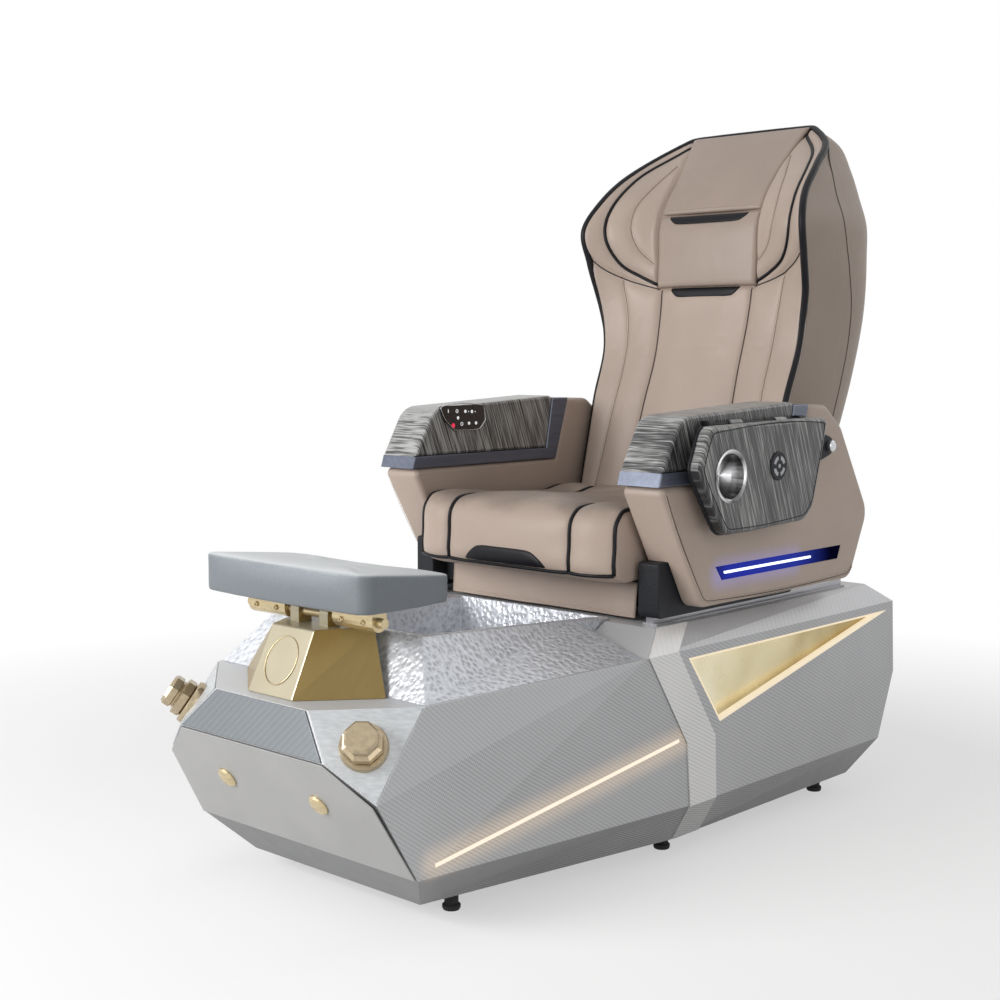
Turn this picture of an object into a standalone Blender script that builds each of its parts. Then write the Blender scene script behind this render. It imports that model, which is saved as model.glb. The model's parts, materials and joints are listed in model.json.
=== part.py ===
"""Pedicure chair: a faceted foot-spa base that carries a sliding, reclining massage chair.

Metres, +Z up. The foot end faces -Y and the sitter's left hand is at +X, so every
piece named left is at +X. Each moving group hangs on an empty that lies on its joint's axis.
"""
import math

import bmesh
import bpy
from mathutils import Matrix, Vector

# Fits
GAP = 0.0003            # seat clearance between pieces that touch
RUN = 0.0006            # running clearance round pins and shafts

# Base hull
BASE_HALF = 0.375
BASE_LENGTH = 1.585     # nose tip to rear face
REAR_Y = 0.775
BOTTOM_Z = 0.038
CREASE_Z = 0.115
BELLY_Z = 0.263
EDGE_Z = 0.428
KEEL_INSET = 0.043      # how far the underside stands in from the sides
STRIP_LOW_HALF = BASE_HALF - 0.175
STRIP_HALF = STRIP_LOW_HALF - 0.072
NOSE_TIP_Y = REAR_Y - BASE_LENGTH
NOSE_LOW_Z = 0.322
NOSE_TOP_Y = NOSE_TIP_Y + 0.028
NOSE_TOP_Z = 0.397
CHIN_HALF = BASE_HALF - 0.075
CHIN_Y = NOSE_TIP_Y + 0.120
NOSE_HALF = BASE_HALF - 0.090
APEX_Y = NOSE_TIP_Y + 0.041
APEX_Z = 0.259
NOSE_KEEL_HALF = BASE_HALF - 0.145
NOSE_KEEL_Y = NOSE_TIP_Y + 0.192
NOSE_CORNER_Y = NOSE_TIP_Y + 0.153
NOSE_CORNER_Z = 0.407
REAR_TOP_SET = 0.010
REAR_CREASE_SET = 0.063
REAR_KEEL_SET = 0.130
PLATFORM_Z = 0.470
PLATFORM_HALF = BASE_HALF - 0.040
PLATFORM_FRONT_Y = -0.085
PLATFORM_REAR_SET = 0.060

# Belt, panels and lights on the hull
BAND_TOP_Y = -0.163
BAND_MID_Y = -0.039
BAND_LOW_Y = -0.027
BAND_MID_Z = 0.242
BAND_WIDTH = 0.088
BAND_THICK = 0.003
BAND_FLARE = (0.0, 0.0, 0.006, 0.004, 0.010)   # extra width at each fold, from the keel up
BAND_START = 0.03       # share of the keel flank that the belt leaves bare
PANEL_THICK = 0.003
PANEL_MARGIN = 0.004
PANEL_CAP_RADIUS = 0.021
PANEL_CAP_RISE = 0.008
PANEL_CAP_SPREAD = 0.128
PANEL_CAP_Z = 0.230
WEDGE_FRONT_Y = -0.030
WEDGE_REAR_Y = 0.740
WEDGE_FOOT_Y = 0.078
WEDGE_TOP_Z = 0.410
WEDGE_FOOT_Z = 0.266
WEDGE_DEPTH = 0.030
WEDGE_FOOT_SHARE = 0.75 # depth of the gold plate at its foot
WEDGE_LIGHT_DEPTH = 0.008
WEDGE_LIGHT_SIDE = 0.004
WEDGE_LIGHT_SILL = 0.010
LED_WIDTH = 0.007
LED_DEPTH = 0.005
LED_PROUD = 0.0005
LED_RISE = 0.013
LED_FRONT_END = 0.040
LED_REAR_END = 0.016

# Feet
FOOT_RADIUS = 0.017
FOOT_STEM = 0.013
FOOT_PAD_HEIGHT = 0.012
FOOT_FRONT = (BASE_HALF - 0.165, NOSE_TIP_Y + 0.290)
FOOT_MIDDLE = (BASE_HALF - 0.095, 0.015)
FOOT_REAR = (BASE_HALF - 0.090, 0.585)

# Basin
BASIN_RIM_HALF = 0.204
BASIN_RIM_WIDTH = 0.014
BASIN_FRONT_Y = NOSE_TIP_Y + 0.225
BASIN_REAR_Y = -0.068
BASIN_RIM_FRONT_Z = 0.506
BASIN_RIM_REAR_Z = 0.475
BASIN_FLOOR_Z = 0.150
BASIN_FLOOR_THICK = 0.008
BASIN_TAPER = 0.046
BASIN_END_TAPER = 0.070
BASIN_RIM_CROWN = 0.002
BASIN_FLOOR_EASE = 0.010
COLLAR_INSET = 0.004
COLLAR_TURN = 0.001
COLLAR_RAMP = (0.020, 0.004)
POCKET_CLEARANCE = 0.003
POCKET_RISE = 0.030
DRAIN_RADIUS = 0.030
DRAIN_HEIGHT = 0.004
JET_RADIUS = 0.048
JET_HEIGHT = 0.014
JET_Z = 0.270

# Water knobs on the corner plates
PLATE_THICK = 0.002
KNOB_ALONG_APEX = 0.09  # place on the corner plate, as shares of two of its edges
KNOB_ALONG_BACK = 0.35
KNOB_BASE_RADIUS = 0.041
KNOB_BASE_HEIGHT = 0.012
KNOB_RADIUS = 0.036
KNOB_HEIGHT = 0.044
KNOB_WAIST = 0.72
KNOB_CROWN = 0.84

# Footrest
PEDESTAL_FRONT_HALF = 0.062
PEDESTAL_FRONT_Y = NOSE_TIP_Y + 0.047
PEDESTAL_REAR_HALF = 0.195
PEDESTAL_TOP_REAR_HALF = 0.108
PEDESTAL_TOP_Y = NOSE_TIP_Y + 0.104
PEDESTAL_TOP_DEPTH = 0.098
PEDESTAL_TOP_Z = 0.516
PEDESTAL_MARGIN = 0.004
PEDESTAL_ROUND = 0.003
FOOTREST_PIVOT_Y = NOSE_TIP_Y + 0.155
FOOTREST_PIVOT_Z = 0.536
SHAFT_RADIUS = 0.009
SHAFT_HALF = 0.185
LUG_INNER = 0.028
LUG_WIDTH = 0.024
LUG_HALF_DEPTH = 0.015
LUG_ROOT = 0.010
BRACKET_INNER = 0.066
BRACKET_WIDTH = 0.105
BRACKET_FRONT = 0.055
BRACKET_REAR = 0.110
BRACKET_PLATE = 0.007
BRACKET_HUB = 0.017
PAD_BOTTOM_Z = 0.563
PAD_FRONT_THICK = 0.071
PAD_REAR_THICK = 0.048
PAD_FRONT_Y = NOSE_TIP_Y + 0.072
PAD_DEPTH = 0.222
PAD_FRONT_HALF = 0.226
PAD_REAR_HALF = 0.214
PAD_CORNER = 0.028
PAD_CROWN = 0.003

# Slide rails and seat frame
RAIL_MIDDLE = 0.302
RAIL_FLANGE = 0.036
RAIL_WEB = 0.018
RAIL_HEIGHT = 0.016
RAIL_FLANGE_THICK = 0.004
RAIL_FRONT_Y = -0.060
RAIL_LENGTH = 0.700
SIDE_BRACKET_INNER = 0.285
SIDE_BRACKET_WIDTH = 0.050
SIDE_BRACKET_FRONT_Y = -0.077
SIDE_BRACKET_REAR_Y = 0.400
SIDE_BRACKET_TOP_Z = 0.596
SIDE_BRACKET_SLOPE = 0.055
SIDE_BRACKET_EDGE = 0.003
SIDE_BRACKET_ROUNDS = (0.012, 0.012, 0.020, 0.020, 0.006)
FRAME_FRONT_Y = -0.035
FRAME_REAR_Y = 0.430
FRAME_BOTTOM_Z = 0.500
FRAME_TOP_Z = 0.5545
FRAME_LUG_ROOT = 0.020
APRON_HALF = 0.255
APRON_THICK = 0.005
APRON_TOP_Z = 0.547
APRON_BOTTOM_Z = 0.476
APRON_FLARE = 0.007

# Seat cushion
SEAT_HALF = 0.270
SEAT_FRONT_Y = -0.152
SEAT_REAR_Y = 0.370
SEAT_TOP_Z = 0.704
SEAT_DIP = 0.020
SEAT_SEAM_X = 0.165
SEAT_SEAM_DEPTH = 0.008
SEAT_ENDS = ((1.0, 0.036), (0.985, 0.019), (0.950, 0.008), (0.870, 0.001), (0.740, 0.0))   # share, draw
SEAT_SEAM_SIDES = ((0.014, 0.001), (0.004, 0.005))   # reach, draw
SEAT_CROWNS = ((0.55, -0.0015), (0.0, -0.003))

# Recline pivot
RECLINE_Y = 0.452
RECLINE_Z = 0.602
RECLINE_RADIUS = 0.011
RECLINE_HALF = 0.262
RECLINE_LUG_WIDTH = 0.020
RECLINE_LUG_HALF = 0.026
TONGUE_HALF = 0.238
TONGUE_RADIUS = 0.027

# Backrest: heights, then the front edge and the centre line at each height
BACK_Z = (0.665, 0.780, 0.893, 1.019, 1.118, 1.147, 1.152, 1.217, 1.294, 1.350, 1.411, 1.478, 1.518)
BACK_HALF = (0.260, 0.267, 0.272, 0.277, 0.288, 0.291, 0.292, 0.299, 0.303, 0.288, 0.271, 0.227, 0.165)
BACK_EDGE_Y = (0.388, 0.423, 0.456, 0.500, 0.496, 0.488, 0.487, 0.467, 0.452, 0.487, 0.557, 0.663, 0.713)
BACK_CENTRE_Y = (0.388, 0.428, 0.464, 0.505, 0.528, 0.533, 0.533, 0.538, 0.542, 0.566, 0.615, 0.672, 0.707)
BACK_REAR_Y = (0.665, 0.749, 0.803, 0.844, 0.862, 0.865, 0.866, 0.866, 0.860, 0.841, 0.804, 0.770, 0.764)
PILLOW_RECESS_Z = 1.150
PILLOW_THICK = 0.030
PILLOW_SEAM_Z = 1.322
PILLOW_TOP_Z = 1.506
PILLOW_HALF = 0.148
PILLOW_ROOM = 0.004
PILLOW_RIM = 0.030
PILLOW_EASE = 0.006
PILLOW_CROWN = ((0.0, 1.0), (0.35, 0.99), (0.65, 0.96), (0.86, 0.88), (0.96, 0.72), (1.0, 0.45))
RECESS_SLOPE = 0.012
SEAM_REACH = 0.009
BACK_SEAM_X = 0.125
BACK_SIDE_SEAM_X = 0.210
BACK_SEAM_DEPTH = 0.006
PAD_EDGE_DEPTH = 0.024
PAD_CENTRE_DEPTH = 0.052
PAD_TOP_SHARE = 0.72    # the padding's part of the depth where the top grows thin
TONGUE_RISE = 0.020
TONGUE_SET = 0.010
TONGUE_DEPTH = 0.050
BACK_RIM = 0.006
SHELL_STEP = 0.012
SHELL_SQUARE = 0.40     # the lower, the squarer the shell's rear corners

# Arms
ARM_INNER = 0.283
ARM_WIDTH = 0.098
ARM_TRIM_PROUD = 0.002
ARM_FRONT_Y = -0.139
ARM_BAND_Z = 0.750
ARM_BAND_HEIGHT = 0.026
ARM_TOE_Y = 0.002
ARM_BOTTOM_Z = 0.5035
ARM_HEEL_Y = 0.565
ARM_REAR_Y = 0.636
ARM_REAR_Z = 0.648
ARM_SHOULDER_Y = 0.515
ARM_SHOULDER_Z = 0.842
ARM_TOP_Y = 0.450
ARM_TOP_Z = 0.890
ARM_BAND_REAR_Y = 0.331
ARM_BAND_TIP_Y = 0.374
CAP_REAR_TOP_Y = 0.318
CAP_REAR_LOW_Y = 0.297
CAP_FRONT_LOW_Y = -0.133
CAP_FRONT_TOP_Y = -0.074
CAP_FRONT_TOP_Z = 0.880
CAP_TOP_Z = 0.899
ARM_ROUNDS = (0.012, 0.036, 0.034, 0.055, 0.055, 0.030, 0.0, 0.0)
BAND_TIP_PROUD = 0.0025
ARM_EDGE_ROUND = 0.011
BAND_EDGE_ROUND = 0.002
CAP_EDGE_ROUND = 0.006
CAP_FRONT_ROUND = 0.055
CAP_REAR_ROUND = 1.5 * CAP_EDGE_ROUND
ARM_SKIRT = 0.042       # thickness of the outer skirt beside the side bracket
ARM_PIVOT_Y = 0.470
ARM_PIVOT_Z = 0.632
ARM_PIN_RADIUS = 0.010
ARM_PIN_LENGTH = 0.045
ARM_EAR_INNER = 0.2755
ARM_EAR_THICK = 0.0065
ARM_EAR_LENGTH = 0.110
ARM_EAR_TOE = 0.030
ARM_EAR_ROUNDS = (0.0, 0.0, 0.010, 0.018, 0.018, 0.010)
ARM_LIGHT_FRONT_Y = 0.046
ARM_LIGHT_REAR_Y = 0.517
ARM_LIGHT_SKEW = 0.022
ARM_LIGHT_LOW_Z = 0.553
ARM_LIGHT_HEIGHT = 0.029
ARM_LIGHT_DEPTH = 0.008
PANEL_TOP_Z = 0.884
PANEL_LOW_Z = 0.828
PANEL_FRONT_Y = -0.064
PANEL_REAR_Y = 0.084
PANEL_PLATE = 0.004
PANEL_ROUND = 0.005

# Side tray
TRAY_STANDOFF = 0.022   # from the trim of the arm to the back of the tray
TRAY_INNER = ARM_INNER + ARM_WIDTH + ARM_TRIM_PROUD + TRAY_STANDOFF
TRAY_PLATE = 0.035
TRAY_TOP_Z = 0.868
TRAY_TOP_FALL = 0.006
TRAY_LOW_RISE = 0.008
TRAY_LOW_Z = 0.652
TRAY_KNEE_Z = 0.686
TRAY_NOSE_Z = 0.780
TRAY_NOSE_Y = -0.093
TRAY_TOP_FRONT_Y = -0.058
TRAY_TOP_REAR_Y = 0.360
TRAY_KNEE_Y = 0.309
TRAY_LOW_REAR_Y = 0.276
TRAY_LOW_FRONT_Y = -0.004
TRAY_ROUNDS = (0.030, 0.036, 0.045, 0.060, 0.014, 0.028)
TRAY_EDGE_ROUND = 0.007
TRAY_HINGE_SET = 0.009
TRAY_AXIS_X = TRAY_INNER - TRAY_HINGE_SET
TRAY_AXIS_Z = 0.863
TRAY_ROD_RADIUS = 0.004
TRAY_KNUCKLE_RADIUS = 0.008
TRAY_KNUCKLE_LENGTH = 0.040
TRAY_KNUCKLE_Y = (0.060, 0.220)
TRAY_LUG_Y = (-0.010, 0.310)
TRAY_LUG_LENGTH = 0.020
TRAY_LUG_ROOT = 0.010
TRAY_LUG_ROUND = 0.003
TRAY_MOUNT_THICK = 0.006
TRAY_MOUNT_LOW_Z = 0.700
TRAY_MOUNT_SLOPE = 0.050
TRAY_REST_Y = 0.150     # the bumper that the hanging tray leans on
TRAY_EAR_Y = 0.462
TRAY_EAR_Z = 0.802
TRAY_EAR_RADIUS = 0.016
TRAY_EAR_HOLE = 0.008
CUP_Y = 0.009
CUP_Z = 0.766
CUP_RADIUS = 0.0475
CUP_DEPTH = 0.030
CUP_WALL = 0.0035
CUP_LIP = 0.0045
CUP_LIP_THICK = 0.0025
KEYPAD_RADIUS = 0.029
KEYPAD_HEIGHT = 0.003
KEYPAD_Y = 0.172
KEYPAD_Z = 0.777

LEATHER = ((0.50, 0.42, 0.36), 0.45, 0.0)
SHELL_LEATHER = ((0.36, 0.28, 0.23), 0.45, 0.0)
CARBON = ((0.55, 0.56, 0.57), 0.35, 0.6)
CARBON_DARK = ((0.34, 0.36, 0.38), 0.35, 0.6)
BRUSHED = ((0.80, 0.80, 0.81), 0.30, 0.9)
GOLD = ((0.78, 0.62, 0.30), 0.22, 1.0)
HAMMERED = ((0.72, 0.73, 0.75), 0.25, 1.0)
VENEER = ((0.20, 0.20, 0.20), 0.40, 0.0)
BLUE_STEEL = ((0.30, 0.32, 0.38), 0.20, 1.0)
CHROME = ((0.80, 0.80, 0.82), 0.10, 1.0)
STEEL = ((0.50, 0.50, 0.52), 0.35, 1.0)
BLACK = ((0.02, 0.02, 0.02), 0.55, 0.0)
GLOSS_BLACK = ((0.01, 0.01, 0.01), 0.10, 0.0)
RUBBER = ((0.015, 0.015, 0.015), 0.8, 0.0)
WARM_LIGHT = ((1.0, 0.82, 0.52), 0.30, 0.0)
BLUE_LIGHT = ((0.08, 0.10, 0.60), 0.25, 0.0)
SILVER_VINYL = ((0.60, 0.62, 0.64), 0.50, 0.0)

SIDES = (("left", 1.0), ("right", -1.0))

for old in list(bpy.data.objects):
    bpy.data.objects.remove(old, do_unlink=True)


# Scene graph: empties on the joint axes, and the pieces that hang on them
PIVOTS = {}


def pivot(name, place, parent=None):
    """Make an empty at a place in the part's frame, under its parent's empty."""
    empty = bpy.data.objects.new(name + "_pivot", None)
    bpy.context.collection.objects.link(empty)
    place = Vector(place)
    if parent is None:
        empty.location = place
        PIVOTS[name] = (empty, Vector((0.0, 0.0, 0.0)))
        return
    holder, holder_place = PIVOTS[parent]
    empty.parent = holder
    empty.location = place - holder_place
    PIVOTS[name] = (empty, place)


def hang(obj, name):
    """Put an object's origin on a pivot and parent it there."""
    empty, place = PIVOTS[name]
    obj.data.transform(Matrix.Translation(-place))
    obj.parent = empty
    return obj


def span(side, inner, outer):
    """Low and high x of a width on one side."""
    return sorted((side * inner, side * outer))


# Solids
def finish(obj, look):
    colour, roughness, metallic = look
    material = bpy.data.materials.new(obj.name)
    material.use_nodes = True
    shader = material.node_tree.nodes["Principled BSDF"]
    shader.inputs["Base Color"].default_value = (*colour, 1.0)
    shader.inputs["Roughness"].default_value = roughness
    shader.inputs["Metallic"].default_value = metallic
    obj.data.materials.clear()
    obj.data.materials.append(material)
    obj.data.shade_smooth()
    obj.data.set_sharp_from_angle(angle=math.radians(30.0))
    return obj


def solid(name, verts, faces):
    """Make a closed mesh whose faces all point out."""
    mesh = bpy.data.meshes.new(name)
    mesh.from_pydata([tuple(v) for v in verts], [], faces)
    shape = bmesh.new()
    shape.from_mesh(mesh)
    bmesh.ops.recalc_face_normals(shape, faces=shape.faces)
    shape.to_mesh(mesh)
    shape.free()
    obj = bpy.data.objects.new(name, mesh)
    bpy.context.collection.objects.link(obj)
    return obj


def loft(name, rings, lean=None):
    """Skin equal rings of points in order and cap both ends.

    A lean splits the quads along one diagonal, so two pieces can share a twisted joint.
    """
    count = len(rings[0])
    verts = [point for ring in rings for point in ring]
    faces = []
    for row in range(len(rings) - 1):
        for i in range(count):
            j = (i + 1) % count
            a = row * count
            b = a + count
            if lean is None:
                faces.append((a + i, a + j, b + j, b + i))
            elif lean == "forward":
                faces.append((a + i, a + j, b + j))
                faces.append((a + i, b + j, b + i))
            else:
                faces.append((a + i, a + j, b + i))
                faces.append((a + j, b + j, b + i))
    faces.append(tuple(range(count)))
    last = (len(rings) - 1) * count
    faces.append(tuple(range(last, last + count)))
    return solid(name, verts, faces)


def prism(name, outline, axis, low, high):
    """Extrude an outline along X (outline in y, z), Y (x, z) or Z (x, y)."""
    def place(point, along):
        u, v = point
        if axis == "X":
            return (along, u, v)
        if axis == "Y":
            return (u, along, v)
        return (u, v, along)
    return loft(name, [[place(p, low) for p in outline], [place(p, high) for p in outline]])


def block(name, low, high):
    corners = [(low[0], low[1]), (high[0], low[1]), (high[0], high[1]), (low[0], high[1])]
    return prism(name, corners, "Z", low[2], high[2])


def basis(axis):
    """Two unit vectors square to an axis, and the axis itself."""
    along = Vector(axis).normalized()
    guide = Vector((0.0, 0.0, 1.0))
    if abs(along.z) > 0.9:
        guide = Vector((1.0, 0.0, 0.0))
    across = along.cross(guide).normalized()
    return across, across.cross(along), along


def turned(name, profile, centre, axis, steps=24, turn=0.0):
    """Spin a profile of (radius, height) points about an axis. Its ends lie on the axis."""
    across, up, along = basis(axis)
    rings = []
    for radius, height in profile[1:-1]:
        ring = []
        for i in range(steps):
            angle = turn + math.tau * i / steps
            out = across * (radius * math.cos(angle)) + up * (radius * math.sin(angle))
            ring.append(Vector(centre) + along * height + out)
        rings.append(ring)
    return loft(name, rings)


def rod(name, radius, start, end, steps=24):
    axis = Vector(end) - Vector(start)
    length = axis.length
    return turned(name, [(0, 0), (radius, 0), (radius, length), (0, length)], start, axis, steps)


def combine(target, tool, operation):
    """Cut or join a tool into a target, and remove the tool."""
    step = target.modifiers.new("combine", "BOOLEAN")
    step.operation = operation
    step.solver = "EXACT"
    step.object = tool
    bake(target)
    bpy.data.objects.remove(tool, do_unlink=True)
    return target


def bake(obj):
    graph = bpy.context.evaluated_depsgraph_get()
    mesh = bpy.data.meshes.new_from_object(obj.evaluated_get(graph))
    obj.modifiers.clear()
    obj.data = mesh


def cut(target, tool):
    return combine(target, tool, "DIFFERENCE")


def join(target, tool):
    return combine(target, tool, "UNION")


def round_edges(obj, width, segments=2, angle=50.0):
    step = obj.modifiers.new("round", "BEVEL")
    step.width = width
    step.segments = segments
    step.limit_method = "ANGLE"
    step.angle_limit = math.radians(angle)
    bake(obj)
    return obj


# Outlines
def rounded(points, radius, steps=4):
    """Round the corners of an outline. The radius is one value or one for each corner."""
    radii = radius if isinstance(radius, (list, tuple)) else [radius] * len(points)
    result = []
    for i, point in enumerate(points):
        here = Vector(point)
        before = (Vector(points[i - 1]) - here)
        after = (Vector(points[(i + 1) % len(points)]) - here)
        if radii[i] <= 0.0:
            result.append((here.x, here.y))
            continue
        half = before.angle(after) / 2.0
        reach = min(radii[i] / math.tan(half), 0.45 * before.length, 0.45 * after.length)
        arc = reach * math.tan(half)
        middle = here + (before.normalized() + after.normalized()).normalized() * (arc / math.sin(half))
        first = here + before.normalized() * reach - middle
        last = here + after.normalized() * reach - middle
        sweep = first.angle_signed(last)
        for k in range(steps + 1):
            turn = -sweep * k / steps
            c, s = math.cos(turn), math.sin(turn)
            result.append((middle.x + first.x * c - first.y * s, middle.y + first.x * s + first.y * c))
    return result


def area(points):
    total = 0.0
    for i, (u, v) in enumerate(points):
        s, t = points[(i + 1) % len(points)]
        total += u * t - s * v
    return total / 2.0


def inset(points, margins):
    """Move each edge of an outline inwards. Edge i runs from point i to the next."""
    count = len(points)
    sign = 1.0 if area(points) > 0 else -1.0
    margins = margins if isinstance(margins, (list, tuple)) else [margins] * count
    lines = []
    for i in range(count):
        a = Vector(points[i])
        b = Vector(points[(i + 1) % count])
        along = (b - a).normalized()
        inward = Vector((-along.y, along.x)) * sign
        lines.append((a + inward * margins[i], along))
    result = []
    for i in range(count):
        p, d = lines[i - 1]
        q, e = lines[i]
        cross = d.x * e.y - d.y * e.x
        gap = q - p
        t = (gap.x * e.y - gap.y * e.x) / cross
        corner = p + d * t
        result.append((corner.x, corner.y))
    return result


def eased(name, outline, low, high, edge, steps=2):
    """Extrude an outline along X and round the edges of both its end faces."""
    levels = []
    for k in range(steps + 1):
        angle = math.pi / 2 * k / steps
        levels.append((edge * (1.0 - math.sin(angle)), edge * (1.0 - math.cos(angle))))
    rings = [[(low + rise, u, v) for u, v in inset(outline, margin)] for margin, rise in levels]
    rings += [[(high - rise, u, v) for u, v in inset(outline, margin)] for margin, rise in reversed(levels)]
    return loft(name, rings)


def mirrored(half):
    """Close a half ring by its mirror image in x."""
    return list(half) + [(-x, y, z) for x, y, z in reversed(half)]


def between(value, keys, values):
    """Read a value from two matching rows by straight interpolation."""
    for i in range(len(keys) - 1):
        if value <= keys[i + 1] or i == len(keys) - 2:
            share = (value - keys[i]) / (keys[i + 1] - keys[i])
            return values[i] + share * (values[i + 1] - values[i])


def plate(name, corners, normal, lift, thick):
    """A flat plate on the plane of its corners, standing off along the normal."""
    step = Vector(normal).normalized()
    low = [Vector(c) + step * lift for c in corners]
    high = [Vector(c) + step * (lift + thick) for c in corners]
    return loft(name, [low, high])


def shrunk(corners, margin):
    """Draw the corners of a flat shape towards its middle by about a margin."""
    middle = sum((Vector(c) for c in corners), Vector()) / len(corners)
    return [Vector(c) + (middle - Vector(c)).normalized() * margin for c in corners]


# Base hull: named corners of the left half, mirrored for the right
def hull_corners():
    keel = BASE_HALF - KEEL_INSET
    top_y = REAR_Y - REAR_TOP_SET
    return {
        "front_keel": (NOSE_KEEL_HALF, NOSE_KEEL_Y, BOTTOM_Z),
        "front_crease": (CHIN_HALF, CHIN_Y, CREASE_Z),
        "apex": (NOSE_HALF, APEX_Y, APEX_Z),
        "strip_low": (STRIP_LOW_HALF, NOSE_TIP_Y, NOSE_LOW_Z),
        "strip_high": (STRIP_HALF, NOSE_TOP_Y, NOSE_TOP_Z),
        "nose_corner": (NOSE_HALF, NOSE_CORNER_Y, NOSE_CORNER_Z),
        "band_top": (BASE_HALF, BAND_TOP_Y, EDGE_Z),
        "band_mid": (BASE_HALF, BAND_MID_Y, BAND_MID_Z),
        "band_crease": (BASE_HALF, BAND_LOW_Y, CREASE_Z),
        "band_keel": (keel, BAND_LOW_Y, BOTTOM_Z),
        "rear_keel": (keel, REAR_Y - REAR_KEEL_SET, BOTTOM_Z),
        "rear_crease": (BASE_HALF, REAR_Y - REAR_CREASE_SET, CREASE_Z),
        "rear_belly": (BASE_HALF, REAR_Y, BELLY_Z),
        "rear_top": (BASE_HALF, top_y, EDGE_Z),
        "platform_front": (PLATFORM_HALF, PLATFORM_FRONT_Y, PLATFORM_Z),
        "platform_rear": (PLATFORM_HALF, top_y - PLATFORM_REAR_SET, PLATFORM_Z),
    }


HULL = {name: Vector(place) for name, place in hull_corners().items()}

# Faces that cross the middle, as chains of left corners, and faces of one side
HULL_CHAINS = (
    ("front_keel", "front_crease"), ("front_crease", "apex", "strip_low"),
    ("strip_low", "strip_high"), ("strip_high", "nose_corner"), ("nose_corner", "band_top"),
    ("band_top", "platform_front"), ("platform_front", "platform_rear"),
    ("platform_rear", "rear_top"), ("rear_top", "rear_belly"), ("rear_belly", "rear_crease"),
    ("rear_crease", "rear_keel"), ("rear_keel", "band_keel", "front_keel"),
)
HULL_SIDES = (
    ("front_keel", "band_keel", "band_crease", "front_crease"),
    ("front_crease", "band_crease", "band_mid"),
    ("front_crease", "band_mid", "band_top"), ("front_crease", "band_top", "nose_corner", "apex"),
    ("strip_low", "apex", "nose_corner"), ("strip_low", "nose_corner", "strip_high"),
    ("band_keel", "rear_keel", "rear_crease", "band_crease"),
    ("band_crease", "rear_crease", "rear_belly", "rear_top", "band_top", "band_mid"),
    ("band_top", "rear_top", "platform_rear", "platform_front"),
)


def mirror(point, side):
    return Vector((point[0] * side, point[1], point[2]))


def hull():
    names = list(HULL)
    index = {name: i for i, name in enumerate(names)}
    count = len(names)
    verts = [HULL[name] for name in names] + [mirror(HULL[name], -1.0) for name in names]
    faces = []
    for chain in HULL_CHAINS:
        near = [index[name] for name in chain]
        faces.append(near + [i + count for i in reversed(near)])
    for corners in HULL_SIDES:
        near = [index[name] for name in corners]
        faces.append(near)
        faces.append([i + count for i in near])
    return solid("base_shell", verts, faces)


def deck_z(y):
    """Height of the front deck, which rises from the nose corner to the belt."""
    corner = HULL["nose_corner"]
    band = HULL["band_top"]
    share = (y - corner.y) / (band.y - corner.y)
    return corner.z + share * (band.z - corner.z)


def nose_deck_z(y):
    high = HULL["strip_high"]
    corner = HULL["nose_corner"]
    return high.z + (y - high.y) / (corner.y - high.y) * (corner.z - high.z)


def wedge_outline():
    """The triangular window behind the belt, in y and z: front, rear and foot corners."""
    return [(WEDGE_FRONT_Y, WEDGE_TOP_Z), (WEDGE_REAR_Y, WEDGE_TOP_Z), (WEDGE_FOOT_Y, WEDGE_FOOT_Z)]


def led_bar(name, side, width, depth, spare):
    """A bar along the front light line, which runs just above the fold from chin to belt."""
    start, end, top = (HULL[n] for n in ("front_crease", "band_mid", "band_top"))
    along = (end - start).normalized()
    out = along.cross(top - start).normalized()
    out = out if out.x > 0 else -out
    across = along.cross(out)
    across = across if across.z > 0 else -across
    start = start + along * LED_FRONT_END + across * LED_RISE
    end = end - along * LED_REAR_END + across * LED_RISE
    rings = []
    for place in (start - along * spare, end + along * spare):
        ring = []
        for u, v in ((-0.5, -depth), (0.5, -depth), (0.5, LED_PROUD), (-0.5, LED_PROUD)):
            ring.append(mirror(place + across * (u * width) + out * v, side))
        rings.append(ring)
    return loft(name, rings)


def build_base():
    shell = hull()
    half = BASIN_RIM_HALF + 1.5 * POCKET_CLEARANCE
    front = BASIN_FRONT_Y - POCKET_CLEARANCE
    rear = BASIN_REAR_Y + POCKET_CLEARANCE
    floor = BASIN_FLOOR_Z - POCKET_CLEARANCE
    cut(shell, block("pocket", (-half, front, floor), (half, rear, PLATFORM_Z + POCKET_RISE)))
    for label, side in SIDES:
        low, high = span(side, BASE_HALF - WEDGE_DEPTH, BASE_HALF + WEDGE_DEPTH)
        cut(shell, prism("window", wedge_outline(), "X", low, high))
        cut(shell, led_bar("groove", side, LED_WIDTH + 2 * GAP, LED_DEPTH + GAP, GAP))
        hang(finish(build_led(label, side), WARM_LIGHT), "base")
        hang(finish(build_wedge(label, side), GOLD), "base")
        hang(finish(build_wedge_light(label, side), WARM_LIGHT), "base")
        hang(finish(build_band(label, side), CARBON), "base")
    hang(finish(shell, CARBON), "base")


def build_led(label, side):
    return led_bar("front_light_" + label, side, LED_WIDTH, LED_DEPTH, 0.0)


def build_wedge(label, side):
    """A gold plate that leans back into the window, deepest at its foot."""
    outline = inset(wedge_outline(), GAP)
    back = BASE_HALF - WEDGE_DEPTH + GAP
    top = BASE_HALF - WEDGE_LIGHT_DEPTH - 2 * GAP
    foot = BASE_HALF - WEDGE_DEPTH * WEDGE_FOOT_SHARE
    low = [(side * back, y, z) for y, z in outline]
    high = [(side * x, y, z) for x, (y, z) in zip((top, top, foot), outline)]
    return loft("gold_wedge_" + label, [low, high])


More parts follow.
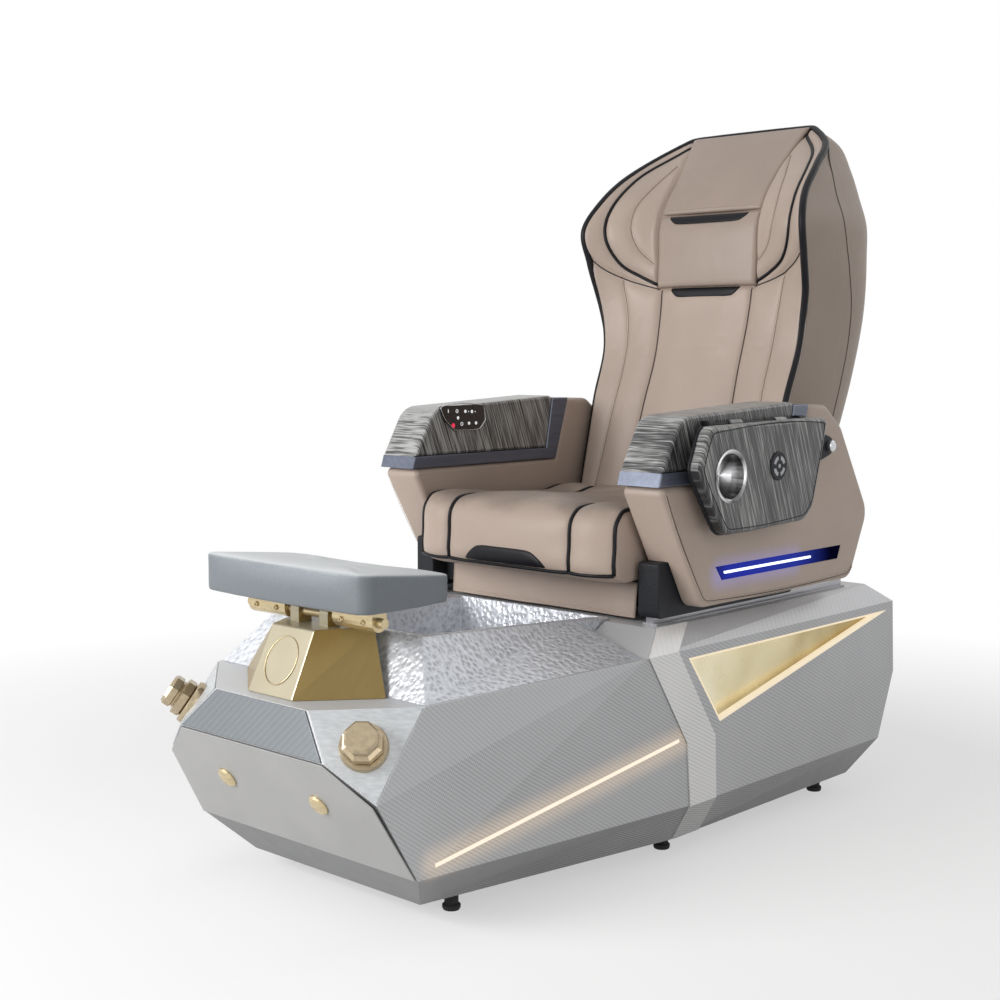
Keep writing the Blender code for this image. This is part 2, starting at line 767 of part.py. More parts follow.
def build_wedge_light(label, side):
    outer = inset(wedge_outline(), GAP)
    inner = inset(outer, [WEDGE_LIGHT_SIDE, WEDGE_LIGHT_SILL, WEDGE_LIGHT_SIDE])
    back = side * (BASE_HALF - WEDGE_LIGHT_DEPTH)
    face = side * (BASE_HALF - GAP)
    frame = prism("wedge_light_" + label, outer, "X", back, face)
    past = side * WEDGE_LIGHT_DEPTH
    return cut(frame, prism("opening", inner, "X", back - past, face + past))


def build_band(label, side):
    """A belt that runs from the underside up the flank and over the edge to the platform."""
    front = [HULL[n] for n in ("band_keel", "band_crease", "band_mid", "band_top", "platform_front")]
    shift = Vector((0.0, PANEL_MARGIN, 0.0))
    front = [point + shift for point in front]
    front[0] = front[0].lerp(front[1], BAND_START)
    wide = [BAND_WIDTH + flare for flare in BAND_FLARE]
    rear = [point + Vector((0.0, width, 0.0)) for point, width in zip(front, wide)]
    normals = []
    for i in range(len(front) - 1):
        normal = (front[i + 1] - front[i]).cross(rear[i] - front[i]).normalized()
        normals.append(normal if normal.x > 0 else -normal)
    inner, outer = [], []
    for i in range(len(front)):
        near = normals[max(i - 1, 0)]
        far = normals[min(i, len(normals) - 1)]
        middle = (near + far).normalized()
        miter = middle / middle.dot(near)
        inner.append([front[i] + miter * GAP, rear[i] + miter * GAP])
        outer.append([rear[i] + miter * BAND_THICK, front[i] + miter * BAND_THICK])
    rings = [[mirror(p, side) for p in low + high] for low, high in zip(inner, outer)]
    return loft("belt_" + label, rings)


def build_nose():
    """Front access panel, its two caps, the dark strip and the brushed corner plates."""
    crease, apex, low, high = (HULL[n] for n in ("front_crease", "apex", "strip_low", "strip_high"))
    normal = Vector((0.0, crease.z - low.z, low.y - crease.y)).normalized()
    ring = [crease, apex, low, mirror(low, -1), mirror(apex, -1), mirror(crease, -1)]
    middle = Vector((0.0, low.y, low.z))
    flat = [p - normal * (p - middle).dot(normal) for p in ring]
    lift = max((p - middle).dot(normal) for p in ring) + GAP
    panel = plate("front_access_panel", shrunk(flat, PANEL_MARGIN), normal, lift, PANEL_THICK)
    hang(finish(panel, CARBON), "base")
    face = lift + PANEL_THICK + GAP
    for label, side in SIDES:
        share = (PANEL_CAP_Z - low.z) / (crease.z - low.z)
        seat = Vector((side * PANEL_CAP_SPREAD, low.y + share * (crease.y - low.y), PANEL_CAP_Z))
        radius, rise = PANEL_CAP_RADIUS, PANEL_CAP_RISE
        dome = [(0, 0), (radius, 0), (radius, rise * 0.3), (radius * 0.85, rise * 0.7),
                (radius * 0.45, rise * 0.97), (0, rise)]
        cap = turned("panel_cap_" + label, dome, seat + normal * face, normal, 20)
        hang(finish(cap, GOLD), "base")
    strip = [low, high, mirror(high, -1), mirror(low, -1)]
    normal = Vector((0.0, low.z - high.z, high.y - low.y)).normalized()
    band = plate("nose_strip", shrunk(strip, PANEL_MARGIN), normal, GAP, PANEL_THICK)
    hang(finish(band, CARBON_DARK), "base")
    for label, side in SIDES:
        hang(finish(build_corner_plate(label, side), BRUSHED), "base")
        hang(finish(build_knob(label, side), GOLD), "knob_" + label)


def knob_frame(side):
    """Seat of a water knob on its corner plate, and the mean normal of the folded plate."""
    low, apex, corner, high = (HULL[n] for n in ("strip_low", "apex", "nose_corner", "strip_high"))
    upper = (corner - high).cross(low - high).normalized()
    lower = (corner - low).cross(apex - low).normalized()
    normal = (upper + lower).normalized()
    normal = normal if normal.y < 0 else -normal
    seat = low + (apex - low) * KNOB_ALONG_APEX + (corner - low) * KNOB_ALONG_BACK
    return mirror(seat, side), mirror(normal, side)


def build_corner_plate(label, side):
    low, apex, corner, high = (
        HULL[n] for n in ("strip_low", "apex", "nose_corner", "strip_high"))
    seat, normal = knob_frame(side)
    corners = shrunk([mirror(p, side) for p in (low, apex, corner, high)], PANEL_MARGIN)
    verts = [c + normal * GAP * 2 for c in corners]
    verts += [c + normal * (GAP * 2 + PLATE_THICK) for c in corners]
    faces = [(0, 1, 2), (0, 2, 3), (4, 5, 6), (4, 6, 7)]
    faces += [(i, (i + 1) % 4, (i + 1) % 4 + 4, i + 4) for i in range(4)]
    sheet = solid("corner_plate_" + label, verts, faces)
    radius, height = KNOB_BASE_RADIUS, KNOB_BASE_HEIGHT
    start = PLATE_THICK / 2 + GAP * 2
    flange = [(0, start), (radius * 0.6, start), (radius, height * 0.4), (radius, height * 0.7),
              (radius * 0.88, height), (0, height)]
    return join(sheet, turned("flange", flange, seat, normal, 24))


def build_knob(label, side):
    seat, normal = knob_frame(side)
    start = KNOB_BASE_HEIGHT + GAP
    radius, height = KNOB_RADIUS, KNOB_HEIGHT
    waist, crown = radius * KNOB_WAIST, radius * KNOB_CROWN
    shape = [(0, 0), (crown, 0), (radius, 0.08), (radius, 0.40), (waist, 0.48), (waist, 0.54),
             (crown, 0.60), (crown, 0.88), (waist, 1.0), (0, 1.0)]
    profile = [(r, start + height * share) for r, share in shape]
    return turned("water_knob_" + label, profile, seat, normal, 8, math.tau / 16)


def build_feet():
    places = (("front", FOOT_FRONT), ("middle", FOOT_MIDDLE), ("rear", FOOT_REAR))
    for row, (x, y) in places:
        for label, side in SIDES:
            top = BOTTOM_Z - GAP
            profile = [(0, 0), (FOOT_RADIUS * 0.9, 0), (FOOT_RADIUS, FOOT_PAD_HEIGHT * 0.3),
                       (FOOT_RADIUS, FOOT_PAD_HEIGHT * 0.75), (FOOT_STEM, FOOT_PAD_HEIGHT),
                       (FOOT_STEM, top), (0, top)]
            foot = turned("foot_" + row + "_" + label, profile, (side * x, y, 0.0), (0, 0, 1), 16)
            hang(finish(foot, RUBBER), "base")


# Basin
def rim_z(y):
    share = (y - BASIN_FRONT_Y) / (BASIN_REAR_Y - BASIN_FRONT_Y)
    return BASIN_RIM_FRONT_Z + share * (BASIN_RIM_REAR_Z - BASIN_RIM_FRONT_Z)


def tub_ring(half, front, rear, height):
    """A ring of the tub with the side corner where the collar stops at the belt."""
    stop = BAND_TOP_Y - COLLAR_INSET
    ys = (front, stop - COLLAR_RAMP[0], stop - COLLAR_RAMP[1], rear)
    return mirrored([(half, y, height(y)) for y in ys])


def build_basin():
    def deck(y):
        return deck_z(min(y, BAND_TOP_Y)) + GAP

    def floor(_):
        return BASIN_FLOOR_Z

    def inner_floor(_):
        return BASIN_FLOOR_Z + BASIN_FLOOR_THICK

    half, width = BASIN_RIM_HALF, BASIN_RIM_WIDTH
    front, rear = BASIN_FRONT_Y, BASIN_REAR_Y
    neck = half - width * 0.6
    stop = BAND_TOP_Y - COLLAR_INSET
    corner = HULL["nose_corner"]
    band = HULL["band_top"]
    skirt = half + POCKET_CLEARANCE
    collar = mirrored([
        (corner.x - COLLAR_INSET, corner.y + COLLAR_INSET, deck(corner.y + COLLAR_INSET)),
        (band.x - COLLAR_INSET, stop, deck(stop)),
        (skirt, stop + COLLAR_TURN, deck(stop)),
        (skirt, rear + POCKET_CLEARANCE / 2, deck(stop)),
    ])
    taper, end = BASIN_TAPER, BASIN_END_TAPER
    low_half = half - width - taper + BASIN_RIM_CROWN
    rings = [
        tub_ring(neck - taper, front + end, rear - end, floor),
        tub_ring(neck, front + width * 0.6, rear - width * 0.5, deck),
        collar,
        tub_ring(half, front, rear, rim_z),
        tub_ring(half - width, front + width, rear - width, lambda y: rim_z(y) + BASIN_RIM_CROWN),
        tub_ring(low_half, front + end + BASIN_FLOOR_EASE, rear - end - BASIN_FLOOR_EASE, inner_floor),
    ]
    hang(finish(loft("foot_basin", rings), HAMMERED), "base")
    middle = (front + rear) / 2
    seat = BASIN_FLOOR_Z + BASIN_FLOOR_THICK + GAP
    profile = [(0, 0), (DRAIN_RADIUS, 0), (DRAIN_RADIUS, DRAIN_HEIGHT * 0.5),
               (DRAIN_RADIUS * 0.8, DRAIN_HEIGHT), (0, DRAIN_HEIGHT)]
    drain = turned("basin_drain", profile, (0, middle, seat), (0, 0, 1), 24)
    hang(finish(drain, CHROME), "base")
    low = Vector((low_half, middle, BASIN_FLOOR_Z + BASIN_FLOOR_THICK))
    high = Vector((half - width, middle, rim_z(middle) + BASIN_RIM_CROWN))
    wall = low.lerp(high, (JET_Z - low.z) / (high.z - low.z))
    inward = Vector((-(high.z - low.z), 0.0, high.x - low.x)).normalized()
    radius, height = JET_RADIUS, JET_HEIGHT
    profile = [(0, GAP), (radius, GAP), (radius, height * 0.5), (radius * 0.8, height), (0, height)]
    jet = turned("jet_cover", profile, mirror(wall, -1), mirror(inward, -1), 24)
    hang(finish(jet, BLACK), "base")


# Footrest
def build_pedestal():
    front, rear = PEDESTAL_FRONT_Y, NOSE_CORNER_Y - PEDESTAL_MARGIN
    top_rear = PEDESTAL_TOP_Y + PEDESTAL_TOP_DEPTH
    low = mirrored([(PEDESTAL_FRONT_HALF, front, nose_deck_z(front) + GAP),
                    (PEDESTAL_REAR_HALF, rear, nose_deck_z(rear) + GAP)])
    high = mirrored([(PEDESTAL_FRONT_HALF - PEDESTAL_MARGIN, PEDESTAL_TOP_Y, PEDESTAL_TOP_Z),
                     (PEDESTAL_TOP_REAR_HALF, top_rear, PEDESTAL_TOP_Z)])
    body = round_edges(loft("footrest_pedestal", [low, high]), PEDESTAL_ROUND, 2, 30.0)
    y, z = FOOTREST_PIVOT_Y, FOOTREST_PIVOT_Z
    for label, side in SIDES:
        reach, root = LUG_HALF_DEPTH, PEDESTAL_TOP_Z - LUG_ROOT
        corners = [(y - reach, root), (y + reach, root), (y + reach, z + reach), (y - reach, z + reach)]
        outline = rounded(corners, [0, 0, reach * 0.8, reach * 0.8])
        join(body, prism("lug", outline, "X", *span(side, LUG_INNER, LUG_INNER + LUG_WIDTH)))
    cut(body, rod("bore", SHAFT_RADIUS + GAP, (-SHAFT_HALF, y, z), (SHAFT_HALF, y, z)))
    hang(finish(body, GOLD), "base")
    shaft = rod("footrest_shaft", SHAFT_RADIUS, (-SHAFT_HALF, y, z), (SHAFT_HALF, y, z))
    hang(finish(shaft, GOLD), "base")


def build_footrest():
    y, z = FOOTREST_PIVOT_Y, FOOTREST_PIVOT_Z
    top = PAD_BOTTOM_Z - GAP
    low = top - BRACKET_PLATE
    hub = [(y + BRACKET_HUB * math.cos(a), z + BRACKET_HUB * math.sin(a))
           for a in (math.pi * (1.0 + k / 8) for k in range(9))]
    outline = [(y - BRACKET_FRONT, top), (y - BRACKET_FRONT, low), (y - BRACKET_HUB, low)] + hub
    outline += [(y + BRACKET_HUB, low), (y + BRACKET_REAR, low), (y + BRACKET_REAR, top)]
    for label, side in SIDES:
        inner, outer = span(side, BRACKET_INNER, BRACKET_INNER + BRACKET_WIDTH)
        bracket = prism("footrest_bracket_" + label, outline, "X", inner, outer)
        ends = (inner - BRACKET_HUB, outer + BRACKET_HUB)
        cut(bracket, rod("bore", SHAFT_RADIUS + RUN, (ends[0], y, z), (ends[1], y, z)))
        hang(finish(bracket, GOLD), "footrest")
    rear = PAD_FRONT_Y + PAD_DEPTH
    plan = rounded([(-PAD_FRONT_HALF, PAD_FRONT_Y), (PAD_FRONT_HALF, PAD_FRONT_Y),
                    (PAD_REAR_HALF, rear), (-PAD_REAR_HALF, rear)], PAD_CORNER, 5)
    rows = ((0.004, 0.000), (0.001, 0.05), (0.000, 0.20), (0.001, 0.50), (0.000, 0.82), (0.002, 0.94),
            (0.008, 1.00))
    rings = []
    for margin, share in rows:
        rings.append([(x, v, PAD_BOTTOM_Z + share * pad_thick(v)) for x, v in pulled(plan, margin)])
    rings.append([(x, v, PAD_BOTTOM_Z + pad_thick(v) + PAD_CROWN) for x, v in pulled(plan, PAD_DEPTH / 3)])
    hang(finish(loft("footrest_pad", rings), SILVER_VINYL), "footrest")


def pad_thick(y):
    """The pad is a wedge that grows thinner towards the sitter."""
    return PAD_FRONT_THICK + (y - PAD_FRONT_Y) / PAD_DEPTH * (PAD_REAR_THICK - PAD_FRONT_THICK)


def pulled(outline, margin):
    """Draw an outline towards its middle, by the margin at its widest point each way."""
    xs = [p[0] for p in outline]
    ys = [p[1] for p in outline]
    cx, cy = (min(xs) + max(xs)) / 2, (min(ys) + max(ys)) / 2
    wide, deep = (max(xs) - min(xs)) / 2, (max(ys) - min(ys)) / 2
    return [(cx + (x - cx) * (wide - margin) / wide, cy + (y - cy) * (deep - margin) / deep)
            for x, y in outline]


# Slide rails, seat frame and seat
def build_rails():
    low = PLATFORM_Z + GAP
    high = low + RAIL_HEIGHT
    step = low + RAIL_FLANGE_THICK
    flange, web = RAIL_FLANGE / 2, RAIL_WEB / 2
    for label, side in SIDES:
        x = side * RAIL_MIDDLE
        outline = [(x - flange, low), (x + flange, low), (x + flange, step), (x + web, step),
                   (x + web, high), (x - web, high), (x - web, step), (x - flange, step)]
        rail = prism("slide_rail_" + label, outline, "Y", RAIL_FRONT_Y, RAIL_FRONT_Y + RAIL_LENGTH)
        hang(finish(rail, STEEL), "base")


def build_seat_frame():
    half = SIDE_BRACKET_INNER - GAP
    frame = block("seat_frame", (-half, FRAME_FRONT_Y, FRAME_BOTTOM_Z), (half, FRAME_REAR_Y, FRAME_TOP_Z))
    y, z, reach = RECLINE_Y, RECLINE_Z, RECLINE_LUG_HALF
    for label, side in SIDES:
        root = FRAME_BOTTOM_Z + FRAME_LUG_ROOT
        corners = [(FRAME_REAR_Y - FRAME_LUG_ROOT, root), (y + reach, FRAME_TOP_Z), (y + reach, z + reach),
                   (y - reach, z + reach), (y - reach, FRAME_TOP_Z - FRAME_LUG_ROOT)]
        outline = rounded(corners, [0, 0, reach * 0.8, reach * 0.8, 0])
        join(frame, prism("lug", outline, "X", *span(side, RECLINE_HALF - RECLINE_LUG_WIDTH, RECLINE_HALF)))
    cut(frame, rod("bore", RECLINE_RADIUS + GAP, (-2 * half, y, z), (2 * half, y, z)))
    hang(finish(frame, BLACK), "chair")
    shaft = rod("recline_shaft", RECLINE_RADIUS, (-RECLINE_HALF, y, z), (RECLINE_HALF, y, z))
    hang(finish(shaft, STEEL), "chair")
    top = FRAME_FRONT_Y - GAP
    skirt = [(top, APRON_TOP_Z), (top - APRON_THICK, APRON_TOP_Z),
             (top - APRON_THICK - APRON_FLARE, APRON_BOTTOM_Z), (top - APRON_FLARE, APRON_BOTTOM_Z)]
    hang(finish(prism("seat_apron", skirt, "X", -APRON_HALF, APRON_HALF), LEATHER), "chair")
    for label, side in SIDES:
        hang(finish(build_side_bracket(label, side), BLACK), "chair")


def build_side_bracket(label, side):
    low = PLATFORM_Z + RAIL_HEIGHT + 2 * GAP
    front, rear, top = SIDE_BRACKET_FRONT_Y, SIDE_BRACKET_REAR_Y, SIDE_BRACKET_TOP_Z
    slope = SIDE_BRACKET_SLOPE
    outline = rounded([(front, low), (rear, low), (rear, top - slope), (rear - slope, top), (front, top)],
                      SIDE_BRACKET_ROUNDS)
    inner, outer = span(side, SIDE_BRACKET_INNER, SIDE_BRACKET_INNER + SIDE_BRACKET_WIDTH)
    return eased("side_bracket_" + label, outline, inner, outer, SIDE_BRACKET_EDGE)


def build_seat():
    """Cushion ribs from side to side: crowned, sewn down at the seams and drawn in at the ends."""
    front, rear, top, base = SEAT_FRONT_Y, SEAT_REAR_Y, SEAT_TOP_Z, FRAME_TOP_Z + GAP
    loop = [(front + 0.030, base + 0.004), (front + 0.008, base + 0.024), (front, base + 0.075),
            (front + 0.010, top - 0.026), (front + 0.032, top - 0.006), (front + 0.062, top),
            (front + 0.130, top - SEAT_DIP * 0.3), (front + 0.260, top - SEAT_DIP),
            (rear - 0.110, top - SEAT_DIP * 1.1), (rear - 0.025, top - SEAT_DIP * 0.8),
            (rear, top - SEAT_DIP * 1.8), (rear, base + 0.040), (rear - 0.020, base + 0.002),
            (rear - 0.200, base), (front + 0.120, base)]
    cy = (front + rear) / 2
    cz = (top + base) / 2
    draws = [(share * SEAT_HALF, draw) for share, draw in SEAT_ENDS]
    draws += [(SEAT_SEAM_X + reach, draw) for reach, draw in SEAT_SEAM_SIDES]
    draws += [(SEAT_SEAM_X, SEAT_SEAM_DEPTH)]
    draws += [(SEAT_SEAM_X - reach, draw) for reach, draw in reversed(SEAT_SEAM_SIDES)]
    draws += [(SEAT_SEAM_X * share, draw) for share, draw in SEAT_CROWNS]
    stations = draws + [(-x, draw) for x, draw in reversed(draws[:-1])]
    rings = []
    for x, draw in stations:
        ring = []
        for y, z in loop:
            if z <= base + 0.001:
                ring.append((x, y, z + max(draw, 0.0) * 0.3))
                continue
            arm = Vector((y - cy, z - cz))
            arm -= arm.normalized() * draw
            ring.append((x, cy + arm.x, cz + arm.y))
        rings.append(ring)
    hang(finish(loft("seat_cushion", rings), LEATHER), "chair")


# Backrest
def back_row(z):
    """Half width, edge, centre and rear of the backrest at a height."""
    return [between(z, BACK_Z, row) for row in (BACK_HALF, BACK_EDGE_Y, BACK_CENTRE_Y, BACK_REAR_Y)]


def back_xs(half):
    """Places across the front, from the middle to the edge, with the seams among them."""
    seam, recess = BACK_SEAM_X, recess_half(half)
    outer = recess + RECESS_SLOPE
    side = min(BACK_SIDE_SEAM_X, (outer + half) / 2)
    near = min(SEAM_REACH, (side - outer) * 0.4)
    return [0.0, seam * 0.55, seam - SEAM_REACH, seam, recess, outer, (outer + side) / 2,
            side - near, side, side + near, side + (half - side) * 0.62, half]


def recess_half(half):
    """Half width of the pillow recess, kept inside the narrow top."""
    return min(PILLOW_HALF + PILLOW_ROOM, half - PILLOW_RIM)


def back_front(x, place, half, edge, centre, recessed):
    """Depth of the front at a place across, with wings, sewn seams and the pillow recess."""
    share = abs(x) / half
    y = centre + (edge - centre) * share ** 3
    if place in (3, 8):
        y += BACK_SEAM_DEPTH
    if place in (6, 10):
        y -= BACK_SEAM_DEPTH / 2
    if recessed and place <= 4:
        y = centre + PILLOW_THICK
    return y


def back_split(x, half, edge, centre, rear):
    """The joint between the padded front and the rear shell."""
    share = abs(x) / half
    deep = centre + min(PAD_CENTRE_DEPTH, PAD_TOP_SHARE * (rear - centre))
    return deep + (edge + PAD_EDGE_DEPTH - deep) * share ** 3


def build_back():
    pad_rings, shell_rings = [], []
    for z in BACK_Z:
        half, edge, centre, rear = back_row(z)
        xs = back_xs(half)
        recessed = z > PILLOW_RECESS_Z
        front = [(x, back_front(x, i, half, edge, centre, recessed), z) for i, x in enumerate(xs)]
        rim = half - BACK_RIM
        split = [(min(x, rim), back_split(x, half, edge, centre, rear), z) for x in xs]
        pad_rings.append(closed_ring(front, split))
        seam = [(x, y + GAP * 2, z) for x, y, _ in split]
        shell_rings.append(closed_ring(seam, shell_rear(xs, half, edge, rear, z)))
    pad = loft("back_pad", pad_rings, "forward")
    hang(finish(pad, LEATHER), "backrest")
    shell = loft("back_shell", shell_rings, "backward")
    y, z, r = RECLINE_Y, RECLINE_Z, TONGUE_RADIUS
    base = BACK_Z[0]
    arc = [(y + r * math.cos(a), z + r * math.sin(a)) for a in (math.pi * (1 + k / 8) for k in range(9))]
    behind = BACK_CENTRE_Y[0] + PAD_CENTRE_DEPTH + TONGUE_SET
    top = base + TONGUE_RISE
    outline = [(behind, top)] + arc + [(y + r + TONGUE_DEPTH, top)]
    join(shell, prism("tongue", outline, "X", -TONGUE_HALF, TONGUE_HALF))
    cut(shell, rod("bore", RECLINE_RADIUS + RUN, (-BASE_HALF, y, z), (BASE_HALF, y, z)))
    hang(finish(shell, SHELL_LEATHER), "backrest")
    build_pillow("neck_pillow", PILLOW_RECESS_Z + 0.003, PILLOW_SEAM_Z - GAP)
    build_pillow("head_pillow", PILLOW_SEAM_Z + GAP, PILLOW_TOP_Z)


def closed_ring(front, rear):
    """Join a front row and a rear row, both from the middle outwards, into one loop."""
    left = [(-x, y, z) for x, y, z in reversed(front[1:])]
    back = [(-x, y, z) for x, y, z in reversed(rear[1:])]
    return left + front + list(reversed(rear)) + list(reversed(back))


def shell_rear(xs, half, edge, rear, z):
    """The rear shell bulges past the seam, then rounds in to a broad back."""
    count = len(xs) - 1
    start = edge + PAD_EDGE_DEPTH + SHELL_STEP
    row = []
    for i in range(count + 1):
        angle = math.pi / 2 * i / count
        x = half * math.sin(angle) ** SHELL_SQUARE
        y = start + (rear - start) * math.cos(angle) ** SHELL_SQUARE
        row.append((x, max(y, start), z))
    return row


def build_pillow(name, low, high):
    """A pad in the backrest's recess, crowned and drawn in round its rim."""
    ease = PILLOW_EASE
    levels = [z for z in BACK_Z if low + 2 * ease < z < high - 2 * ease]
    heights = [low, low + ease] + levels + [high - ease, high]
    rings = []
    for z in heights:
        half, edge, centre, _ = back_row(z)
        wide = between(z, BACK_Z, [recess_half(row) for row in BACK_HALF]) - PILLOW_ROOM
        at_end = z in (low, high)
        near_end = z in (low + ease, high - ease)
        deep = centre + PILLOW_THICK - GAP * 2
        thick = PILLOW_THICK * (0.55 if at_end else 0.92 if near_end else 1.06)
        front = []
        for share, crown in PILLOW_CROWN:
            front.append((wide * share, deep - thick * crown, z))
        back = [(x, deep, z) for x, _, _ in front]
        rings.append(closed_ring(front, back))
    hang(finish(loft(name, rings), LEATHER), "backrest")


# Arms and trays
def arm_outline():
    """Side view of the leather body, below and behind the trim band."""
    low = ARM_BAND_Z - GAP
    points = [(ARM_FRONT_Y, low), (ARM_TOE_Y, ARM_BOTTOM_Z), (ARM_HEEL_Y, ARM_BOTTOM_Z),
              (ARM_REAR_Y, ARM_REAR_Z), (ARM_SHOULDER_Y, ARM_SHOULDER_Z), (ARM_TOP_Y, ARM_TOP_Z),
              (ARM_BAND_TIP_Y + 2 * GAP, ARM_TOP_Z), (ARM_BAND_REAR_Y + 2 * GAP, low)]
    return rounded(points, ARM_ROUNDS)


def band_outline():
    top = ARM_BAND_Z + ARM_BAND_HEIGHT
    tip = ARM_TOP_Z + BAND_TIP_PROUD
    return [(ARM_FRONT_Y - ARM_TRIM_PROUD, ARM_BAND_Z), (ARM_BAND_REAR_Y, ARM_BAND_Z),
            (ARM_BAND_TIP_Y, tip), (CAP_REAR_TOP_Y, tip), (CAP_REAR_LOW_Y, top), (CAP_FRONT_LOW_Y, top)]


def cap_outline():
    low = ARM_BAND_Z + ARM_BAND_HEIGHT + GAP
    corners = [(CAP_FRONT_LOW_Y, low), (CAP_FRONT_TOP_Y, CAP_FRONT_TOP_Z),
               (CAP_REAR_TOP_Y - 2 * GAP, CAP_TOP_Z), (CAP_REAR_LOW_Y - 2 * GAP, low)]
    return rounded(corners, [0.0, CAP_FRONT_ROUND, CAP_REAR_ROUND, 0.0], 5)


def build_arm(label, side):
    group = "arm_" + label
    outer = ARM_INNER + ARM_WIDTH
    low, high = span(side, ARM_INNER, outer)
    body = eased("arm_body_" + label, arm_outline(), low, high, ARM_EDGE_ROUND)
    notch = span(side, ARM_INNER - ARM_WIDTH, outer - ARM_SKIRT)
    cut(body, block("notch", (notch[0], ARM_FRONT_Y * 2, ARM_BOTTOM_Z - ARM_WIDTH),
                    (notch[1], ARM_REAR_Y * 2, SIDE_BRACKET_TOP_Z + GAP)))
    pin = span(side, ARM_INNER - ARM_PIN_LENGTH, ARM_EAR_INNER + ARM_EAR_THICK + ARM_PIN_LENGTH + RUN)
    y, z = ARM_PIVOT_Y, ARM_PIVOT_Z
    cut(body, rod("bore", ARM_PIN_RADIUS + RUN, (pin[0], y, z), (pin[1], y, z)))
    slot_low, slot_high = ARM_LIGHT_LOW_Z, ARM_LIGHT_LOW_Z + ARM_LIGHT_HEIGHT
    slot = [(ARM_LIGHT_FRONT_Y + ARM_LIGHT_SKEW, slot_low),
            (ARM_LIGHT_REAR_Y - ARM_LIGHT_SKEW * 0.6, slot_low),
            (ARM_LIGHT_REAR_Y, slot_high), (ARM_LIGHT_FRONT_Y, slot_high)]
    cut(body, prism("slot", slot, "X", *span(side, outer - ARM_LIGHT_DEPTH - GAP, outer + ARM_LIGHT_DEPTH)))
    hang(finish(body, LEATHER), group)
    lens = prism("arm_light_" + label, inset(slot, GAP), "X", *span(side, outer - ARM_LIGHT_DEPTH, outer))
    hang(finish(lens, BLUE_LIGHT), group)
    low, high = span(side, ARM_INNER - ARM_TRIM_PROUD, outer + ARM_TRIM_PROUD)
    band = eased("arm_band_" + label, band_outline(), low, high, BAND_EDGE_ROUND, 1)
    hang(finish(band, BLUE_STEEL), group)
    cap = eased("arm_cap_" + label, cap_outline(), low, high, CAP_EDGE_ROUND)
    hang(finish(cap, VENEER), group)
    hang(finish(build_arm_pivot(label, side), STEEL), "chair")


def build_arm_pivot(label, side):
    """An ear on the seat frame with the pin that the arm lifts about."""
    y, z = ARM_PIVOT_Y, ARM_PIVOT_Z
    foot = FRAME_TOP_Z + GAP
    reach = ARM_PIN_RADIUS * 2.4
    toe = y - ARM_EAR_LENGTH
    corners = [(toe, foot), (FRAME_REAR_Y, foot), (y + reach, z - reach * 0.6), (y + reach, z + reach),
               (y - reach, z + reach), (toe, foot + ARM_EAR_TOE)]
    outline = rounded(corners, ARM_EAR_ROUNDS)
    inner, outer = ARM_EAR_INNER, ARM_EAR_INNER + ARM_EAR_THICK
    ear = prism("arm_pivot_" + label, outline, "X", *span(side, inner, outer))
    pin = span(side, inner + ARM_EAR_THICK / 2, outer + ARM_PIN_LENGTH)
    return join(ear, rod("pin", ARM_PIN_RADIUS, (pin[0], y, z), (pin[1], y, z)))


def build_control_panel():
    """Touch panel on the inner face of the right arm's cap."""
    side = -1.0
    face = ARM_INNER - ARM_TRIM_PROUD - GAP
    middle = (PANEL_TOP_Z + PANEL_LOW_Z) / 2
    front, rear = PANEL_FRONT_Y, PANEL_REAR_Y
    outline = rounded([(front, PANEL_TOP_Z), (rear - 0.006, PANEL_TOP_Z), (rear, middle - 0.008),
                       (rear - 0.020, PANEL_LOW_Z), (front + 0.048, PANEL_LOW_Z),
                       (front + 0.018, middle - 0.004)], PANEL_ROUND, 3)
    panel = prism("control_panel", outline, "X", *span(side, face - PANEL_PLATE, face))
    hang(finish(panel, GLOSS_BLACK), "arm_right")


def tray_outline():
    corners = [(TRAY_NOSE_Y, TRAY_NOSE_Z), (TRAY_LOW_FRONT_Y, TRAY_LOW_Z),
               (TRAY_LOW_REAR_Y, TRAY_LOW_Z + TRAY_LOW_RISE), (TRAY_KNEE_Y, TRAY_KNEE_Z),
               (TRAY_TOP_REAR_Y, TRAY_TOP_Z), (TRAY_TOP_FRONT_Y, TRAY_TOP_Z - TRAY_TOP_FALL)]
    return rounded(corners, TRAY_ROUNDS)


